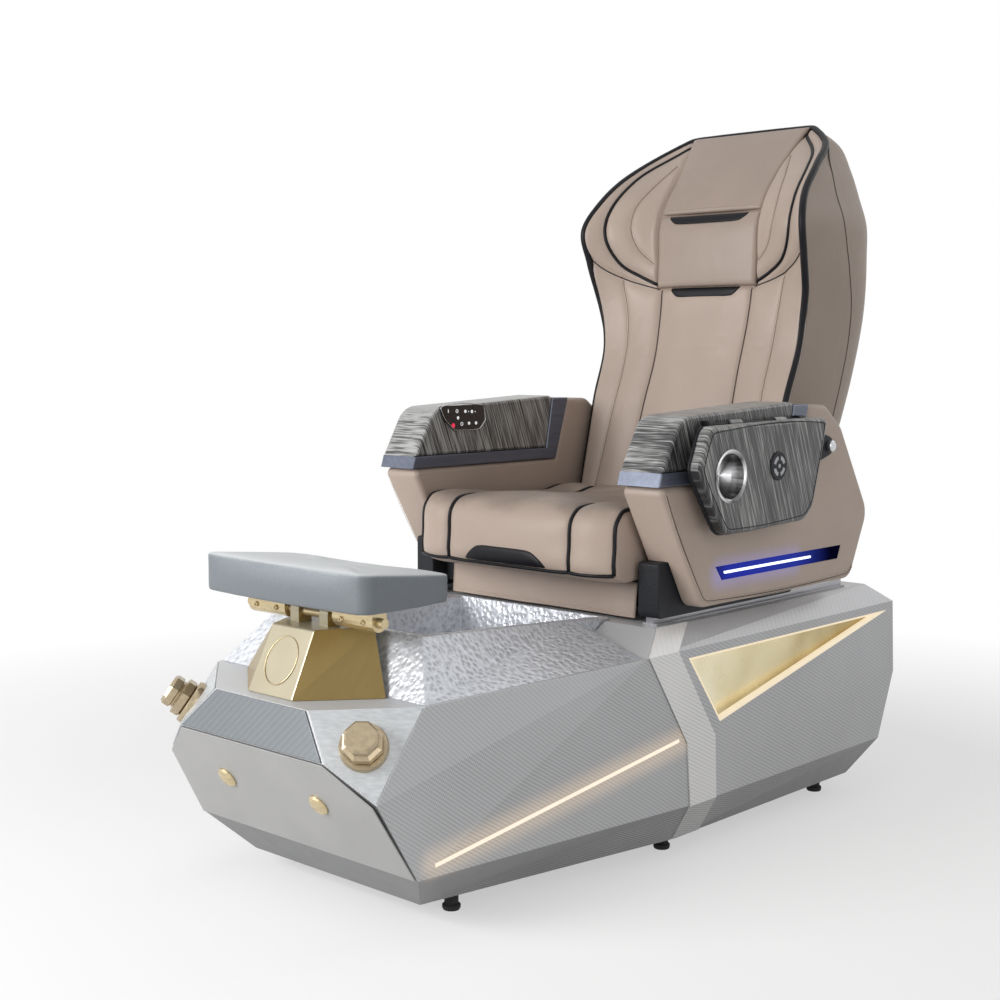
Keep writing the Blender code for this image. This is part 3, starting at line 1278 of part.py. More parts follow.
def build_tray():
    """Flip-up tray on the outside of the left arm, with its mount, cup holder and keypad."""
    side = 1.0
    mount_face = ARM_INNER + ARM_WIDTH + ARM_TRIM_PROUD + GAP
    plate_outer = mount_face + TRAY_MOUNT_THICK
    low, high = TRAY_MOUNT_LOW_Z, TRAY_AXIS_Z - TRAY_KNUCKLE_RADIUS
    start, end = TRAY_LUG_Y[0], TRAY_LUG_Y[1] + TRAY_LUG_LENGTH
    slope, ear = TRAY_MOUNT_SLOPE, TRAY_EAR_RADIUS
    base = [(start, low + slope), (start + slope, low), (end - slope * 0.8, low), (end, low + slope),
            (TRAY_EAR_Y, TRAY_EAR_Z - ear), (TRAY_EAR_Y, TRAY_EAR_Z + ear), (end, high), (start, high)]
    rounds = [slope * 0.2, slope * 0.4, slope * 0.4, 0.0, ear * 0.97, ear * 0.97, 0.0, 0.0]
    mount = prism("tray_mount", rounded(base, rounds), "X", *span(side, mount_face, plate_outer))
    hole_y = TRAY_EAR_Y - ear
    cut(mount, rod("hole", TRAY_EAR_HOLE, (side * (mount_face - TRAY_MOUNT_THICK), hole_y, TRAY_EAR_Z),
                   (side * (plate_outer + TRAY_MOUNT_THICK), hole_y, TRAY_EAR_Z), 16))
    reach = TRAY_KNUCKLE_RADIUS
    lug_low, lug_high = high - TRAY_LUG_ROOT, TRAY_AXIS_Z + reach
    for y in TRAY_LUG_Y:
        lows = span(side, mount_face, TRAY_AXIS_X + reach)
        corners = [(lows[0], lug_low), (lows[1], lug_low), (lows[1], lug_high), (lows[0], lug_high)]
        outline = rounded(corners, [TRAY_LUG_ROUND, TRAY_LUG_ROUND, reach * 0.97, TRAY_LUG_ROUND], 3)
        join(mount, prism("lug", outline, "Y", y, y + TRAY_LUG_LENGTH))
    rest = span(side, plate_outer - TRAY_MOUNT_THICK / 2, TRAY_INNER - GAP)
    join(mount, block("rest", (rest[0], TRAY_REST_Y, low + TRAY_MOUNT_THICK),
                      (rest[1], TRAY_REST_Y + TRAY_LUG_LENGTH, low + TRAY_LUG_LENGTH)))
    axis = (side * TRAY_AXIS_X, TRAY_AXIS_Z)
    join(mount, rod("pin", TRAY_ROD_RADIUS, (axis[0], start + TRAY_LUG_LENGTH / 2, axis[1]),
                    (axis[0], end - TRAY_LUG_LENGTH / 2, axis[1]), 16))
    hang(finish(mount, BLACK), "arm_left")
    face = TRAY_INNER + TRAY_PLATE
    tray = eased("tray_panel", tray_outline(), *span(side, TRAY_INNER, face), TRAY_EDGE_ROUND)
    for y in TRAY_KNUCKLE_Y:
        ends = (y, y + TRAY_KNUCKLE_LENGTH)
        lows = span(side, TRAY_AXIS_X, TRAY_INNER + TRAY_HINGE_SET)
        join(tray, block("web", (lows[0], ends[0], TRAY_AXIS_Z - reach), (lows[1], ends[1], TRAY_AXIS_Z)))
        near, far = ends[0] - GAP, ends[1] + GAP
        join(tray, rod("knuckle", reach, (axis[0], near, axis[1]), (axis[0], far, axis[1])))
    cut(tray, rod("bore", TRAY_ROD_RADIUS + RUN, (axis[0], start, axis[1]), (axis[0], end, axis[1]), 16))
    floor = face - CUP_DEPTH - GAP
    cut(tray, rod("well", CUP_RADIUS + GAP * 2, (side * floor, CUP_Y, CUP_Z),
                  (side * (face + CUP_DEPTH), CUP_Y, CUP_Z), 32))
    hang(finish(tray, VENEER), "tray")
    radius, wall, lip = CUP_RADIUS, CUP_WALL, CUP_LIP
    rim = CUP_DEPTH + GAP
    edge = rim + CUP_LIP_THICK * 0.6
    profile = [(0, 0), (radius, 0), (radius, rim), (radius + lip, rim), (radius + lip, edge),
               (radius, rim + CUP_LIP_THICK), (radius - wall, rim), (radius - wall * 2, wall), (0, wall)]
    cup = turned("cup_holder", profile, (side * (face - CUP_DEPTH), CUP_Y, CUP_Z), (side, 0, 0), 32)
    hang(finish(cup, CHROME), "tray")
    radius, height = KEYPAD_RADIUS, KEYPAD_HEIGHT
    profile = [(0, 0), (radius, 0), (radius, height * 0.5), (radius * 0.94, height), (0, height)]
    keypad = turned("tray_keypad", profile, (side * (face + GAP), KEYPAD_Y, KEYPAD_Z), (side, 0, 0), 28)
    hang(finish(keypad, GLOSS_BLACK), "tray")


def build_pivots():
    """The root empty brings the middle of the whole chair, tray included, over the origin."""
    left = TRAY_INNER + TRAY_PLATE + GAP + KEYPAD_HEIGHT
    right = ARM_INNER + ARM_WIDTH + ARM_TRIM_PROUD
    front = NOSE_TIP_Y - PANEL_THICK
    pivot("base", ((right - left) / 2, -(front + max(BACK_REAR_Y)) / 2, 0.0))
    pivot("footrest", (0.0, FOOTREST_PIVOT_Y, FOOTREST_PIVOT_Z), "base")
    pivot("chair", (0.0, 0.0, PLATFORM_Z + RAIL_HEIGHT), "base")
    pivot("backrest", (0.0, RECLINE_Y, RECLINE_Z), "chair")
    for label, side in SIDES:
        pivot("knob_" + label, knob_frame(side)[0], "base")
        pivot("arm_" + label, (side * ARM_INNER, ARM_PIVOT_Y, ARM_PIVOT_Z), "chair")
    pivot("tray", (TRAY_AXIS_X, TRAY_KNUCKLE_Y[0], TRAY_AXIS_Z), "arm_left")


def main():
    build_pivots()
    build_base()
    build_nose()
    build_feet()
    build_basin()
    build_pedestal()
    build_footrest()
    build_rails()
    build_seat_frame()
    build_seat()
    build_back()
    for label, side in SIDES:
        build_arm(label, side)
    build_control_panel()
    build_tray()


main()
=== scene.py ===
"""Looks of the pedicure chair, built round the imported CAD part.

Lengths are metres. Shapes are written in the part's own drawing frame, where x = 0 is the middle of
the base and y grows from the foot end to the back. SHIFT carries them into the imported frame.
"""
import json
import math

import bmesh
import bpy
import numpy as np
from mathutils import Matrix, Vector
from mathutils.bvhtree import BVHTree

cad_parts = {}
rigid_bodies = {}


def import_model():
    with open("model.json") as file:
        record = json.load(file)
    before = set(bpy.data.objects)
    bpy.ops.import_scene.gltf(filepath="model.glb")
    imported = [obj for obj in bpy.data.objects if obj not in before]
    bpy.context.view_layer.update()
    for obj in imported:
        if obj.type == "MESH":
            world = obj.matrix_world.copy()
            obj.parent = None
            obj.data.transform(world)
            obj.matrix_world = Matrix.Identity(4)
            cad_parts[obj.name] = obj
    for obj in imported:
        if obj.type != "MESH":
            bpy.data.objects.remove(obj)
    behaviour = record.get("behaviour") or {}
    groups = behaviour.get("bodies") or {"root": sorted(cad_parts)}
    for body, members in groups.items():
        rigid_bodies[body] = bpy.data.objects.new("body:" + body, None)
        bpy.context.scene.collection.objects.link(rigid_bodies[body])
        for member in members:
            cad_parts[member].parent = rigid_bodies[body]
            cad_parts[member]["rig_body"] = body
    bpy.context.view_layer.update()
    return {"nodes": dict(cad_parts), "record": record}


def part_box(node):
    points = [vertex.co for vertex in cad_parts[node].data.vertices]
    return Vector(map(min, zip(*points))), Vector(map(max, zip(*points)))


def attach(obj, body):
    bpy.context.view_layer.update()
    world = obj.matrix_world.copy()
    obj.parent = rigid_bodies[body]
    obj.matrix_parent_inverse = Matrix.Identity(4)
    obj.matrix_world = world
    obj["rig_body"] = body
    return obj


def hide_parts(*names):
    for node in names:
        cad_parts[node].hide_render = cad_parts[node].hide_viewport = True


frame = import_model()
NODES = frame["nodes"]
SCENE = bpy.context.scene
SIDES = (("left", 1.0), ("right", -1.0))
SIGNS = (1.0, -1.0)
X, Y, Z = range(3)
FORWARD, SIDEWAYS = (0, -1, 0), (1, 0, 0)

BASE_REAR_Y = 0.775
base_low, base_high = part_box("base_shell")
SHIFT = Vector(((base_low.x + base_high.x) / 2, base_high.y - BASE_REAR_Y, 0.0))


# Finishes
WEAVE_PITCH = 0.0080
# Painted light round a lamp line: its reach, strength and colours.
WASH_REACH, WASH_STRENGTH = 0.050, 0.20
BLUE_WASH, WARM_WASH = (0.10, 0.16, 1.0), (1.0, 0.66, 0.32)


def scaled(colour, share):
    """A colour made lighter or darker, with full cover."""
    return tuple(min(1.0, c * share) for c in colour[:3]) + (1.0,)


class Finish:
    """A Principled material, with short names for the nodes that feed it.

    The scale of a texture is its count per metre.
    """

    def __init__(self, name, colour, rough, metal=0.0, **sockets):
        self.material = bpy.data.materials.new(name)
        self.material.use_nodes = True
        self.tree = self.material.node_tree
        self.bsdf = self.tree.nodes["Principled BSDF"]
        values = {"Base_Color": scaled(colour, 1.0), "Roughness": rough, "Metallic": metal, **sockets}
        for socket, value in values.items():
            self.bsdf.inputs[socket.replace("_", " ")].default_value = value
        self.where = self.add("ShaderNodeTexCoord").outputs["Object"]

    def add(self, kind, inputs=None, **settings):
        made = self.tree.nodes.new(kind)
        for key, value in settings.items():
            setattr(made, key, value)
        for key, value in (inputs or {}).items():
            if isinstance(value, bpy.types.NodeSocket):
                self.tree.links.new(value, made.inputs[key])
            else:
                made.inputs[key].default_value = value
        return made

    def feed(self, socket, source):
        self.tree.links.new(source, self.bsdf.inputs[socket])

    def math(self, operation, a, b=0.0):
        return self.add("ShaderNodeMath", {0: a, 1: b}, operation=operation).outputs[0]

    def plus(self, a, b):
        return self.math("ADD", a, b)

    def minus(self, a, b):
        return self.math("SUBTRACT", a, b)

    def times(self, a, b):
        return self.math("MULTIPLY", a, b)

    def vector(self, operation, inputs, output="Vector"):
        return self.add("ShaderNodeVectorMath", inputs, operation=operation).outputs[output]

    def axes(self):
        """The object's own x, y and z."""
        return self.add("ShaderNodeSeparateXYZ", {0: self.where}).outputs

    def facing(self, axis):
        """How far the surface faces along one axis, -1 to 1."""
        normal = self.add("ShaderNodeTexCoord").outputs["Normal"]
        return self.add("ShaderNodeSeparateXYZ", {0: normal}).outputs[axis]

    def stretch(self, scales):
        """The object's own coordinates, with a scale for each axis."""
        return self.vector("MULTIPLY", {0: self.where, 1: scales})

    def noise(self, scale, detail=2.0, where=None, rough=0.5, warp=0.0):
        inputs = {"Vector": where or self.where, "Scale": scale, "Detail": detail, "Roughness": rough,
                  "Distortion": warp}
        return self.add("ShaderNodeTexNoise", inputs).outputs[0]

    def cells(self, scale, feature="F1", **inputs):
        places = {"Vector": self.where, "Scale": scale, **inputs}
        return self.add("ShaderNodeTexVoronoi", places, feature=feature).outputs["Distance"]

    def ramp(self, share, *stops):
        made = self.add("ShaderNodeValToRGB", {"Fac": share})
        ramp = made.color_ramp
        while len(ramp.elements) < len(stops):
            ramp.elements.new(0.5)
        for element, (place, colour) in zip(ramp.elements, stops):
            element.position = place
            element.color = colour if len(colour) == 4 else tuple(colour) + (1.0,)
        return made.outputs["Color"]

    def remap(self, value, source, target=(0.0, 1.0), **settings):
        """A clamped map from one range of values onto another."""
        limits = {"From Min": source[0], "From Max": source[1], "To Min": target[0], "To Max": target[1]}
        return self.add("ShaderNodeMapRange", {"Value": value, **limits}, **settings).outputs[0]

    def span(self, share, low, high):
        return self.remap(share, (0.0, 1.0), (low, high))

    def wash(self, ends, colour):
        """Painted light: the glow that a lamp line throws on the surface round it, the same on both sides of
        x = 0.
        """
        x, y, z = self.axes()
        offset = self.math("ABSOLUTE", self.minus(x, SHIFT.x))
        place = self.add("ShaderNodeCombineXYZ", {0: offset, 1: y, 2: z}).outputs[0]
        start, end = (Vector(e) + Vector((0, SHIFT.y, 0)) for e in ends)
        along = end - start
        from_start = self.vector("SUBTRACT", {0: place, 1: start})
        share = self.vector("DOT_PRODUCT", {0: from_start, 1: along / along.length_squared}, "Value")
        share = self.add("ShaderNodeClamp", {"Value": share}).outputs[0]
        near = self.vector("SCALE", {0: along, "Scale": share})
        gap = self.vector("DISTANCE", {0: from_start, 1: near}, "Value")
        fall = self.remap(gap, (0.0, WASH_REACH), (WASH_STRENGTH, 0.0), interpolation_type="SMOOTHERSTEP")
        self.bsdf.inputs["Emission Color"].default_value = scaled(colour, 1.0)
        self.feed("Emission Strength", fall)

    def bump(self, height, strength, distance):
        made = self.add("ShaderNodeBump", {"Height": height, "Strength": strength, "Distance": distance})
        self.feed("Normal", made.outputs[0])


def leather(name, colour, rough=0.44, shine=0.42, glow_line=None, top_shade=0.0):
    """Grained leather with soft folds. The top darkening paints shade on the faces that look up."""
    f = Finish(name, colour, rough, Specular_IOR_Level=shine)
    pores = f.cells(900.0)
    tone = f.plus(f.times(f.noise(7.0, 3.0), 0.8), f.times(pores, 0.25))
    stops = [(0.25, scaled(colour, 0.92)), (0.70, scaled(colour, 1.05))]
    # painted shade: faces that look up are darkened, down to a darker copy of the colour
    if top_shade:
        tone = f.minus(tone, f.times(f.span(f.facing(Z), -0.35, 1.0), top_shade))
        stops.insert(0, (0.0, scaled(colour, 0.58)))
    f.feed("Base Color", f.ramp(tone, *stops))
    f.feed("Roughness", f.span(f.noise(60.0), rough - 0.05, rough + 0.08))
    folds = f.noise(26.0, 3.0, f.stretch((1.0, 1.0, 0.45)), 0.55, 1.2)
    grain = f.times(f.plus(pores, f.noise(240.0)), 0.10)
    f.bump(f.plus(folds, grain), 0.25, 0.004)
    # painted light: the glow of a lamp line on the leather round it
    if glow_line:
        f.wash(glow_line, BLUE_WASH)
    return f.material


def weave(name, light, dark, rough, metal, glow_line=None):
    """Woven carbon sheet, with painted shade on the faces that look down and painted light on those that look
    up.

    Its two crossing waves are laid so that no face of the hull sees them end on.
    """
    f = Finish(name, light, rough, metal, Coat_Weight=0.12, Coat_Roughness=0.2)
    x, y, z = f.axes()
    turns = 2.0 * math.pi / WEAVE_PITCH
    across = f.times(f.plus(x, y), turns)
    along = f.times(f.plus(z, f.times(f.minus(x, y), 0.5)), turns)
    cell = f.times(f.math("SINE", across), f.math("SINE", along))
    # painted light and shade: faces that look up are made paler and faces that look down darker
    tilted = f.plus(f.remap(cell, (-1.0, 1.0), (0.10, 0.60)), f.times(f.facing(Z), 0.8))
    tone_and_shade = f.plus(tilted, f.span(f.noise(5.0), -0.10, 0.10))
    # the darkest stop is painted shade for the faces that look down
    f.feed("Base Color", f.ramp(tone_and_shade, (0.0, scaled(dark, 0.40)), (0.22, dark), (0.90, light)))
    f.feed("Roughness", f.span(f.noise(30.0, 3.0), rough - 0.06, rough + 0.08))
    f.bump(cell, 0.14, 0.0006)
    # painted light: the warm glow of a lamp line on the hull round it
    if glow_line:
        f.wash(glow_line, WARM_WASH)
    return f.material


def brushed(name, colour, rough, metal, scales, depth=0.10):
    """Metal with fine lines along the axis whose scale is small."""
    f = Finish(name, colour, rough, metal)
    lines = f.noise(1.0, 3.0, f.stretch(scales))
    f.feed("Base Color", f.ramp(lines, (0.30, scaled(colour, 0.86)), (0.70, scaled(colour, 1.08))))
    f.feed("Roughness", f.span(f.noise(18.0, 3.0), rough * 0.75, rough * 1.35))
    f.bump(lines, depth, 0.0004)
    return f.material


def hammered(name, colour):
    """Sheet metal with small beaten dents."""
    f = Finish(name, colour, 0.34, 0.35)
    dents = f.cells(95.0, "SMOOTH_F1", Smoothness=0.45)
    ripple = f.plus(dents, f.times(f.noise(210.0, 2.0), 0.35))
    f.feed("Base Color", f.ramp(ripple, (0.20, scaled(colour, 0.78)), (0.75, scaled(colour, 1.12))))
    f.feed("Roughness", f.span(f.noise(25.0), 0.22, 0.40))
    f.bump(ripple, 0.45, 0.004)
    return f.material


def veneer(name):
    """Dark grey straight-grained veneer, paler on top and towards the right arm: painted light."""
    f = Finish(name, (0.14, 0.14, 0.14), 0.42, Coat_Weight=0.10, Coat_Roughness=0.25)
    x, y, z = f.axes()
    slant = f.plus(f.times(y, 380.0), f.times(z, 150.0))
    grain = f.add("ShaderNodeCombineXYZ", {0: f.times(x, 14.0), 1: slant, 2: f.times(z, 8.0)}).outputs[0]
    lines = f.noise(1.0, 2.0, grain, 0.5, 0.5)
    figure = f.noise(1.0, 2.0, f.stretch((9.0, 30.0, 7.0)), 0.5, 1.4)
    tone = f.plus(f.times(lines, 0.80), f.times(figure, 0.22))
    # painted light: paler on faces that look up and along y, and towards negative x where the right arm is
    lit = f.plus(f.times(f.facing(Z), 0.14), f.times(f.facing(Y), 0.04))
    tone = f.plus(tone, f.plus(lit, f.times(x, -0.12)))
    f.feed("Base Color", f.ramp(tone, (0.37, (0.012, 0.012, 0.013)), (0.46, (0.065, 0.065, 0.065)),
                                (0.54, (0.17, 0.17, 0.165)), (0.64, (0.42, 0.42, 0.41))))
    f.feed("Roughness", f.span(lines, 0.26, 0.46))
    f.bump(lines, 0.10, 0.0005)
    return f.material


def moulded(name, colour, rough, grain=260.0, depth=0.25, **sockets):
    """Plastic, rubber, thread or powder coat with a fine even grain."""
    f = Finish(name, colour, rough, **sockets)
    speck = f.noise(grain, 3.0)
    f.feed("Base Color", f.ramp(speck, (0.35, scaled(colour, 0.70)), (0.68, scaled(colour, 1.45))))
    f.feed("Roughness", f.span(f.noise(22.0), rough * 0.85, min(1.0, rough * 1.15)))
    f.bump(speck, depth, 0.0006)
    return f.material


def satin(name, colour, rough, metal):
    """Lacquered sheet: nearly even, with soft broad clouds and a trace of grain."""
    f = Finish(name, colour, rough, metal, Coat_Weight=0.15, Coat_Roughness=0.2)
    clouds = f.plus(f.times(f.noise(6.0, 3.0), 0.8), f.times(f.noise(500.0), 0.2))
    f.feed("Base Color", f.ramp(clouds, (0.30, scaled(colour, 0.92)), (0.70, scaled(colour, 1.07))))
    f.feed("Roughness", f.span(f.noise(14.0), rough - 0.05, rough + 0.08))
    return f.material


def mirror_gold(name, front, rear):
    """Polished gold plate with painted reflections: pale at the front and deeper towards the rear, with soft
    clouds of a room.
    """
    f = Finish(name, (0.6, 0.5, 0.3), 0.24, 0.55)
    # painted reflection: a pale front fading to deep gold at the rear, broken by soft clouds
    share = f.remap(f.axes()[Y], (front, rear))
    cloudy = f.plus(share, f.span(f.noise(7.0, 1.0, None, 0.4, 0.4), -0.35, 0.35))
    f.feed("Base Color", f.ramp(cloudy, (0.0, (1.0, 0.93, 0.70)), (0.30, (0.86, 0.76, 0.48)),
                                (0.85, (0.46, 0.35, 0.14))))
    f.feed("Roughness", f.span(f.noise(18.0), 0.18, 0.34))
    return f.material


def pedestal_gold(name, front, side):
    """Champagne sheet, paler on the faces that look along the part than on its flanks, whose darker colour is
    painted shade.

    Each flank is shaded as one plane, so that the fold across it doesn't show.
    """
    f = Finish(name, front, 0.30, 0.35)
    lines = f.span(f.noise(1.0, 3.0, f.stretch((90.0, 26.0, 7.0))), -0.10, 0.10)
    outward = f.facing(X)
    on_flank = f.math("GREATER_THAN", f.math("ABSOLUTE", outward), 0.3)
    tone = f.plus(f.times(on_flank, 0.7), lines)
    # painted shade: the flanks take the darker, deeper side colour
    f.feed("Base Color", f.ramp(tone, (0.0, front), (0.12, front), (0.58, side), (0.82, scaled(side, 0.80))))
    f.feed("Roughness", f.span(f.noise(18.0, 3.0), 0.24, 0.40))
    flank = f.add("ShaderNodeCombineXYZ", {0: f.math("SIGN", outward), 1: -0.15, 2: 0.35}).outputs[0]
    bare = f.add("ShaderNodeTexCoord").outputs["Normal"]
    either = f.add("ShaderNodeMix", {0: on_flank, 4: bare, 5: flank}, data_type="VECTOR").outputs[1]
    f.feed("Normal", f.vector("NORMALIZE", {0: either}))
    return f.material


def vinyl(name, top, side):
    """Upholstery vinyl, paler on the faces that look up and greyer on the sides: painted light and shade."""
    f = Finish(name, top, 0.46, Specular_IOR_Level=0.5)
    # painted light and shade: the ramp runs from the greyer side colour to the pale top colour by how far the
    # face looks up
    tone = f.plus(f.facing(Z), f.span(f.noise(420.0, 3.0), -0.22, 0.22))
    f.feed("Base Color", f.ramp(tone, (0.0, scaled(side, 0.85)), (0.25, scaled(side, 1.15)),
                                (0.80, scaled(top, 0.92)), (1.0, scaled(top, 1.08))))
    f.feed("Roughness", f.span(f.noise(22.0), 0.40, 0.54))
    f.bump(f.noise(900.0, 3.0), 0.12, 0.0006)
    return f.material


def cup_steel(name, y, z):
    """Spun steel with painted reflections: light and dark rays round the cup's axis."""
    f = Finish(name, (0.7, 0.7, 0.71), 0.22, 1.0)
    axes = f.axes()
    turn = f.math("ARCTAN2", f.minus(axes[Z], z), f.minus(axes[Y], y))
    rays = f.plus(f.remap(turn, (-math.pi, math.pi)), f.span(f.noise(30.0), -0.02, 0.02))
    # painted reflections: dark and light greys by the angle round the axis
    greys = ((0.0, 0.10, 0.10), (0.14, 0.62, 0.63), (0.27, 0.06, 0.06), (0.42, 0.30, 0.30),
             (0.52, 0.85, 0.86), (0.62, 0.12, 0.12), (0.78, 0.55, 0.55), (0.90, 0.90, 0.90),
             (1.0, 0.10, 0.10))
    f.feed("Base Color", f.ramp(rays, *[(place, (grey, grey, blue)) for place, grey, blue in greys]))
    return f.material


def glow(name, colour, strength, body=(0.8, 0.8, 0.8)):
    """A lit diffuser: even light with a faint milky variation."""
    f = Finish(name, body, 0.35, Emission_Strength=strength)
    f.feed("Emission Color", f.ramp(f.noise(35.0), (0.2, scaled(colour, 0.92)), (0.8, scaled(colour, 1.0))))
    return f.material


def slot_glow(name, front, rear):
    """The arm's light slot: blue at the front, dying away towards the rear."""
    f = Finish(name, (0.002, 0.002, 0.006), 0.60, Emission_Strength=1.0, Specular_IOR_Level=0.0)
    cloudy = f.plus(f.remap(f.axes()[Y], (front, rear)), f.span(f.noise(20.0), -0.03, 0.03))
    f.feed("Emission Color", f.ramp(cloudy, (0.0, (0.012, 0.016, 0.11)), (0.10, (0.020, 0.030, 0.33)),
                                    (0.62, (0.022, 0.036, 0.30)), (0.90, (0.0, 0.0, 0.006))))
    return f.material


BEIGE = (0.41, 0.325, 0.272)
FRONT_LINE = ((0.309, -0.655, 0.139), (0.375, -0.053, 0.250))
SLOT_LINE = ((0.381, 0.060, 0.566), (0.381, 0.330, 0.566))
SLOT_FADE_Y = (0.040, 0.520)
WEDGE_FADE_Y = (0.0, 0.60)
CUP_Y, CUP_Z = 0.009, 0.766
LEATHER = leather("beige_leather", BEIGE)
# the seat leather carries painted shade on the faces that look up
SEAT_LEATHER = leather("seat_leather", BEIGE, shine=0.25, top_shade=0.55)
# the arm leather carries painted light round the light slot
ARM_LEATHER = leather("arm_leather", BEIGE, glow_line=SLOT_LINE)
# painted shade: the beige leather made darker for the pillows, which look up into the top light
PILLOW_LEATHER = leather("pillow_leather", (0.333, 0.264, 0.221))
SHELL = leather("taupe_leather", (0.285, 0.222, 0.178), 0.46)
PIPING = leather("black_piping", (0.004, 0.004, 0.006), 0.42, 0.20)
THREAD = moulded("thread", (0.50, 0.41, 0.34), 0.75, 900.0, 0.4)
DARK_THREAD = moulded("dark_seam", (0.030, 0.022, 0.018), 0.7, 900.0, 0.4)
SOFT_THREAD = moulded("soft_seam", (0.17, 0.125, 0.10), 0.7, 900.0, 0.4)
# the silver carbon carries painted light round the front light
CARBON = weave("silver_carbon", (0.62, 0.625, 0.64), (0.40, 0.403, 0.41), 0.40, 0.15, FRONT_LINE)
CARBON_DARK = weave("grey_carbon", (0.166, 0.183, 0.196), (0.106, 0.117, 0.128), 0.40, 0.15)
BELT = weave("belt_carbon", (0.87, 0.86, 0.845), (0.66, 0.655, 0.65), 0.36, 0.20)
FRONT = satin("satin_panel", (0.36, 0.357, 0.35), 0.42, 0.25)
BRUSHED = brushed("brushed_silver", (0.55, 0.57, 0.585), 0.36, 0.30, (5.0, 90.0, 240.0), 0.08)
GOLD = brushed("champagne_gold", (0.62, 0.51, 0.31), 0.24, 0.75, (30.0, 160.0, 160.0), 0.02)
KNOB_GOLD = brushed("antique_gold", (0.46, 0.375, 0.25), 0.26, 0.70, (60.0, 160.0, 160.0), 0.02)
# the wedge plate carries a painted reflection along y
MIRROR_GOLD = mirror_gold("mirror_gold", *(SHIFT.y + y for y in WEDGE_FADE_Y))
# the second colour is the painted shade of the pedestal's flanks
GOLD_PALE = pedestal_gold("pale_gold", (0.41, 0.365, 0.26), (0.43, 0.30, 0.096))
HAMMERED = hammered("hammered_silver", (0.62, 0.64, 0.68))
VENEER = veneer("grey_veneer")
BLUE_STEEL = brushed("blue_steel", (0.13, 0.145, 0.19), 0.34, 0.55, (120.0, 8.0, 120.0), 0.02)
CHROME = brushed("chrome", (0.60, 0.61, 0.63), 0.14, 0.9, (90.0, 90.0, 90.0), 0.02)
STEEL = brushed("steel", (0.40, 0.40, 0.42), 0.32, 0.9, (160.0, 10.0, 160.0), 0.05)
BLACK = moulded("black_powder_coat", (0.011, 0.012, 0.015), 0.55, 420.0, 0.70, Specular_IOR_Level=0.25)
RUBBER = moulded("rubber", (0.010, 0.010, 0.010), 0.82, 300.0, 0.3)
GLOSS = moulded("gloss_black", (0.006, 0.006, 0.008), 0.12, 60.0, 0.02, Coat_Weight=0.5, Coat_Roughness=0.05)
VINYL = vinyl("silver_vinyl", (0.60, 0.62, 0.63), (0.170, 0.190, 0.207))
WARM = glow("warm_light", (1.0, 0.85, 0.67), 0.88, (0.30, 0.28, 0.25))
EDGE_GLOW = glow("edge_light", (1.0, 0.85, 0.62), 0.72, (0.30, 0.25, 0.16))
WHITE_LINE = glow("white_line", (0.66, 0.80, 1.0), 1.5)
ICON = glow("icon_white", (0.92, 0.95, 1.0), 0.50)
ICON_DIM = glow("icon_grey", (0.85, 0.88, 0.92), 0.10, (0.25, 0.25, 0.26))
ICON_RED = glow("icon_red", (0.85, 0.03, 0.09), 0.75, (0.5, 0.02, 0.05))
ARM_SLOT = slot_glow("blue_slot", *(SHIFT.y + y for y in SLOT_FADE_Y))
CUP_STEEL = cup_steel("cup_steel", SHIFT.y + CUP_Y, CUP_Z)


# Curves
def hermite(keys, values):
    """A smooth curve through rows of keys and values."""
    k, v = np.array(keys, float), np.array(values, float)
    slope = np.gradient(v, k)

    def read(t):
        t = np.clip(np.asarray(t, float), k[0], k[-1])
        i = np.clip(np.searchsorted(k, t) - 1, 0, len(k) - 2)
        h = k[i + 1] - k[i]
        s = (t - k[i]) / h
        return ((2 * s**3 - 3 * s**2 + 1) * v[i] + (s**3 - 2 * s**2 + s) * h * slope[i]
                + (3 * s**2 - 2 * s**3) * v[i + 1] + (s**3 - s**2) * h * slope[i + 1])
    return read


def smooth_step(t):
    t = np.clip(t, 0, 1)
    return t * t * (3 - 2 * t)


def run_along(points):
    """Length from the first point to each one."""
    return np.concatenate([[0], np.cumsum(np.linalg.norm(np.diff(points, axis=0), axis=1))])


def even(points, step, closed=False, fineness=2000):
    """Points at an even step along a smooth curve through the given ones."""
    p = np.array(points, float)
    if closed:
        p = np.vstack([p[-2:], p, p[:3]])
    chord = run_along(p)
    axes = [hermite(chord, p[:, i]) for i in range(p.shape[1])]
    ends = (chord[2], chord[-3]) if closed else (chord[0], chord[-1])
    fine = np.stack([axis(np.linspace(*ends, fineness)) for axis in axes], 1)
    run = run_along(fine)
    count = max(3, int(round(run[-1] / step)) + 1)
    at = np.linspace(0, run[-1], count)[:-1 if closed else None]
    return np.stack([np.interp(at, run, fine[:, i]) for i in range(p.shape[1])], 1)


def mirrored(half):
    """Places on both sides of 0, out of those from 0 on."""
    return np.concatenate([-half[:0:-1], half])


def beside(path, normal, offset):
    """A copy of a path moved sideways on its surface."""
    across = np.cross(np.gradient(path, axis=0), np.asarray(normal, float))
    return path + across / np.linalg.norm(across, axis=1)[:, None] * offset


def aside(line, offset):
    """A copy of a flat line moved sideways."""
    along = np.gradient(line, axis=0)
    across = np.stack([-along[:, 1], along[:, 0]], 1)
    return line + across * (offset / np.linalg.norm(across, axis=1))[:, None]


def reach(points, lines):
    """Distance of each flat point to the nearest of several flat lines."""
    points = np.asarray(points, float)
    best = np.full(len(points), math.inf)
    for line in lines:
        for a, b in zip(line[:-1], line[1:]):
            d = b - a
            t = np.clip(((points - a) @ d) / max(d @ d, 1e-12), 0, 1)
            best = np.minimum(best, np.linalg.norm(points - a - t[:, None] * d, axis=1))
    return best


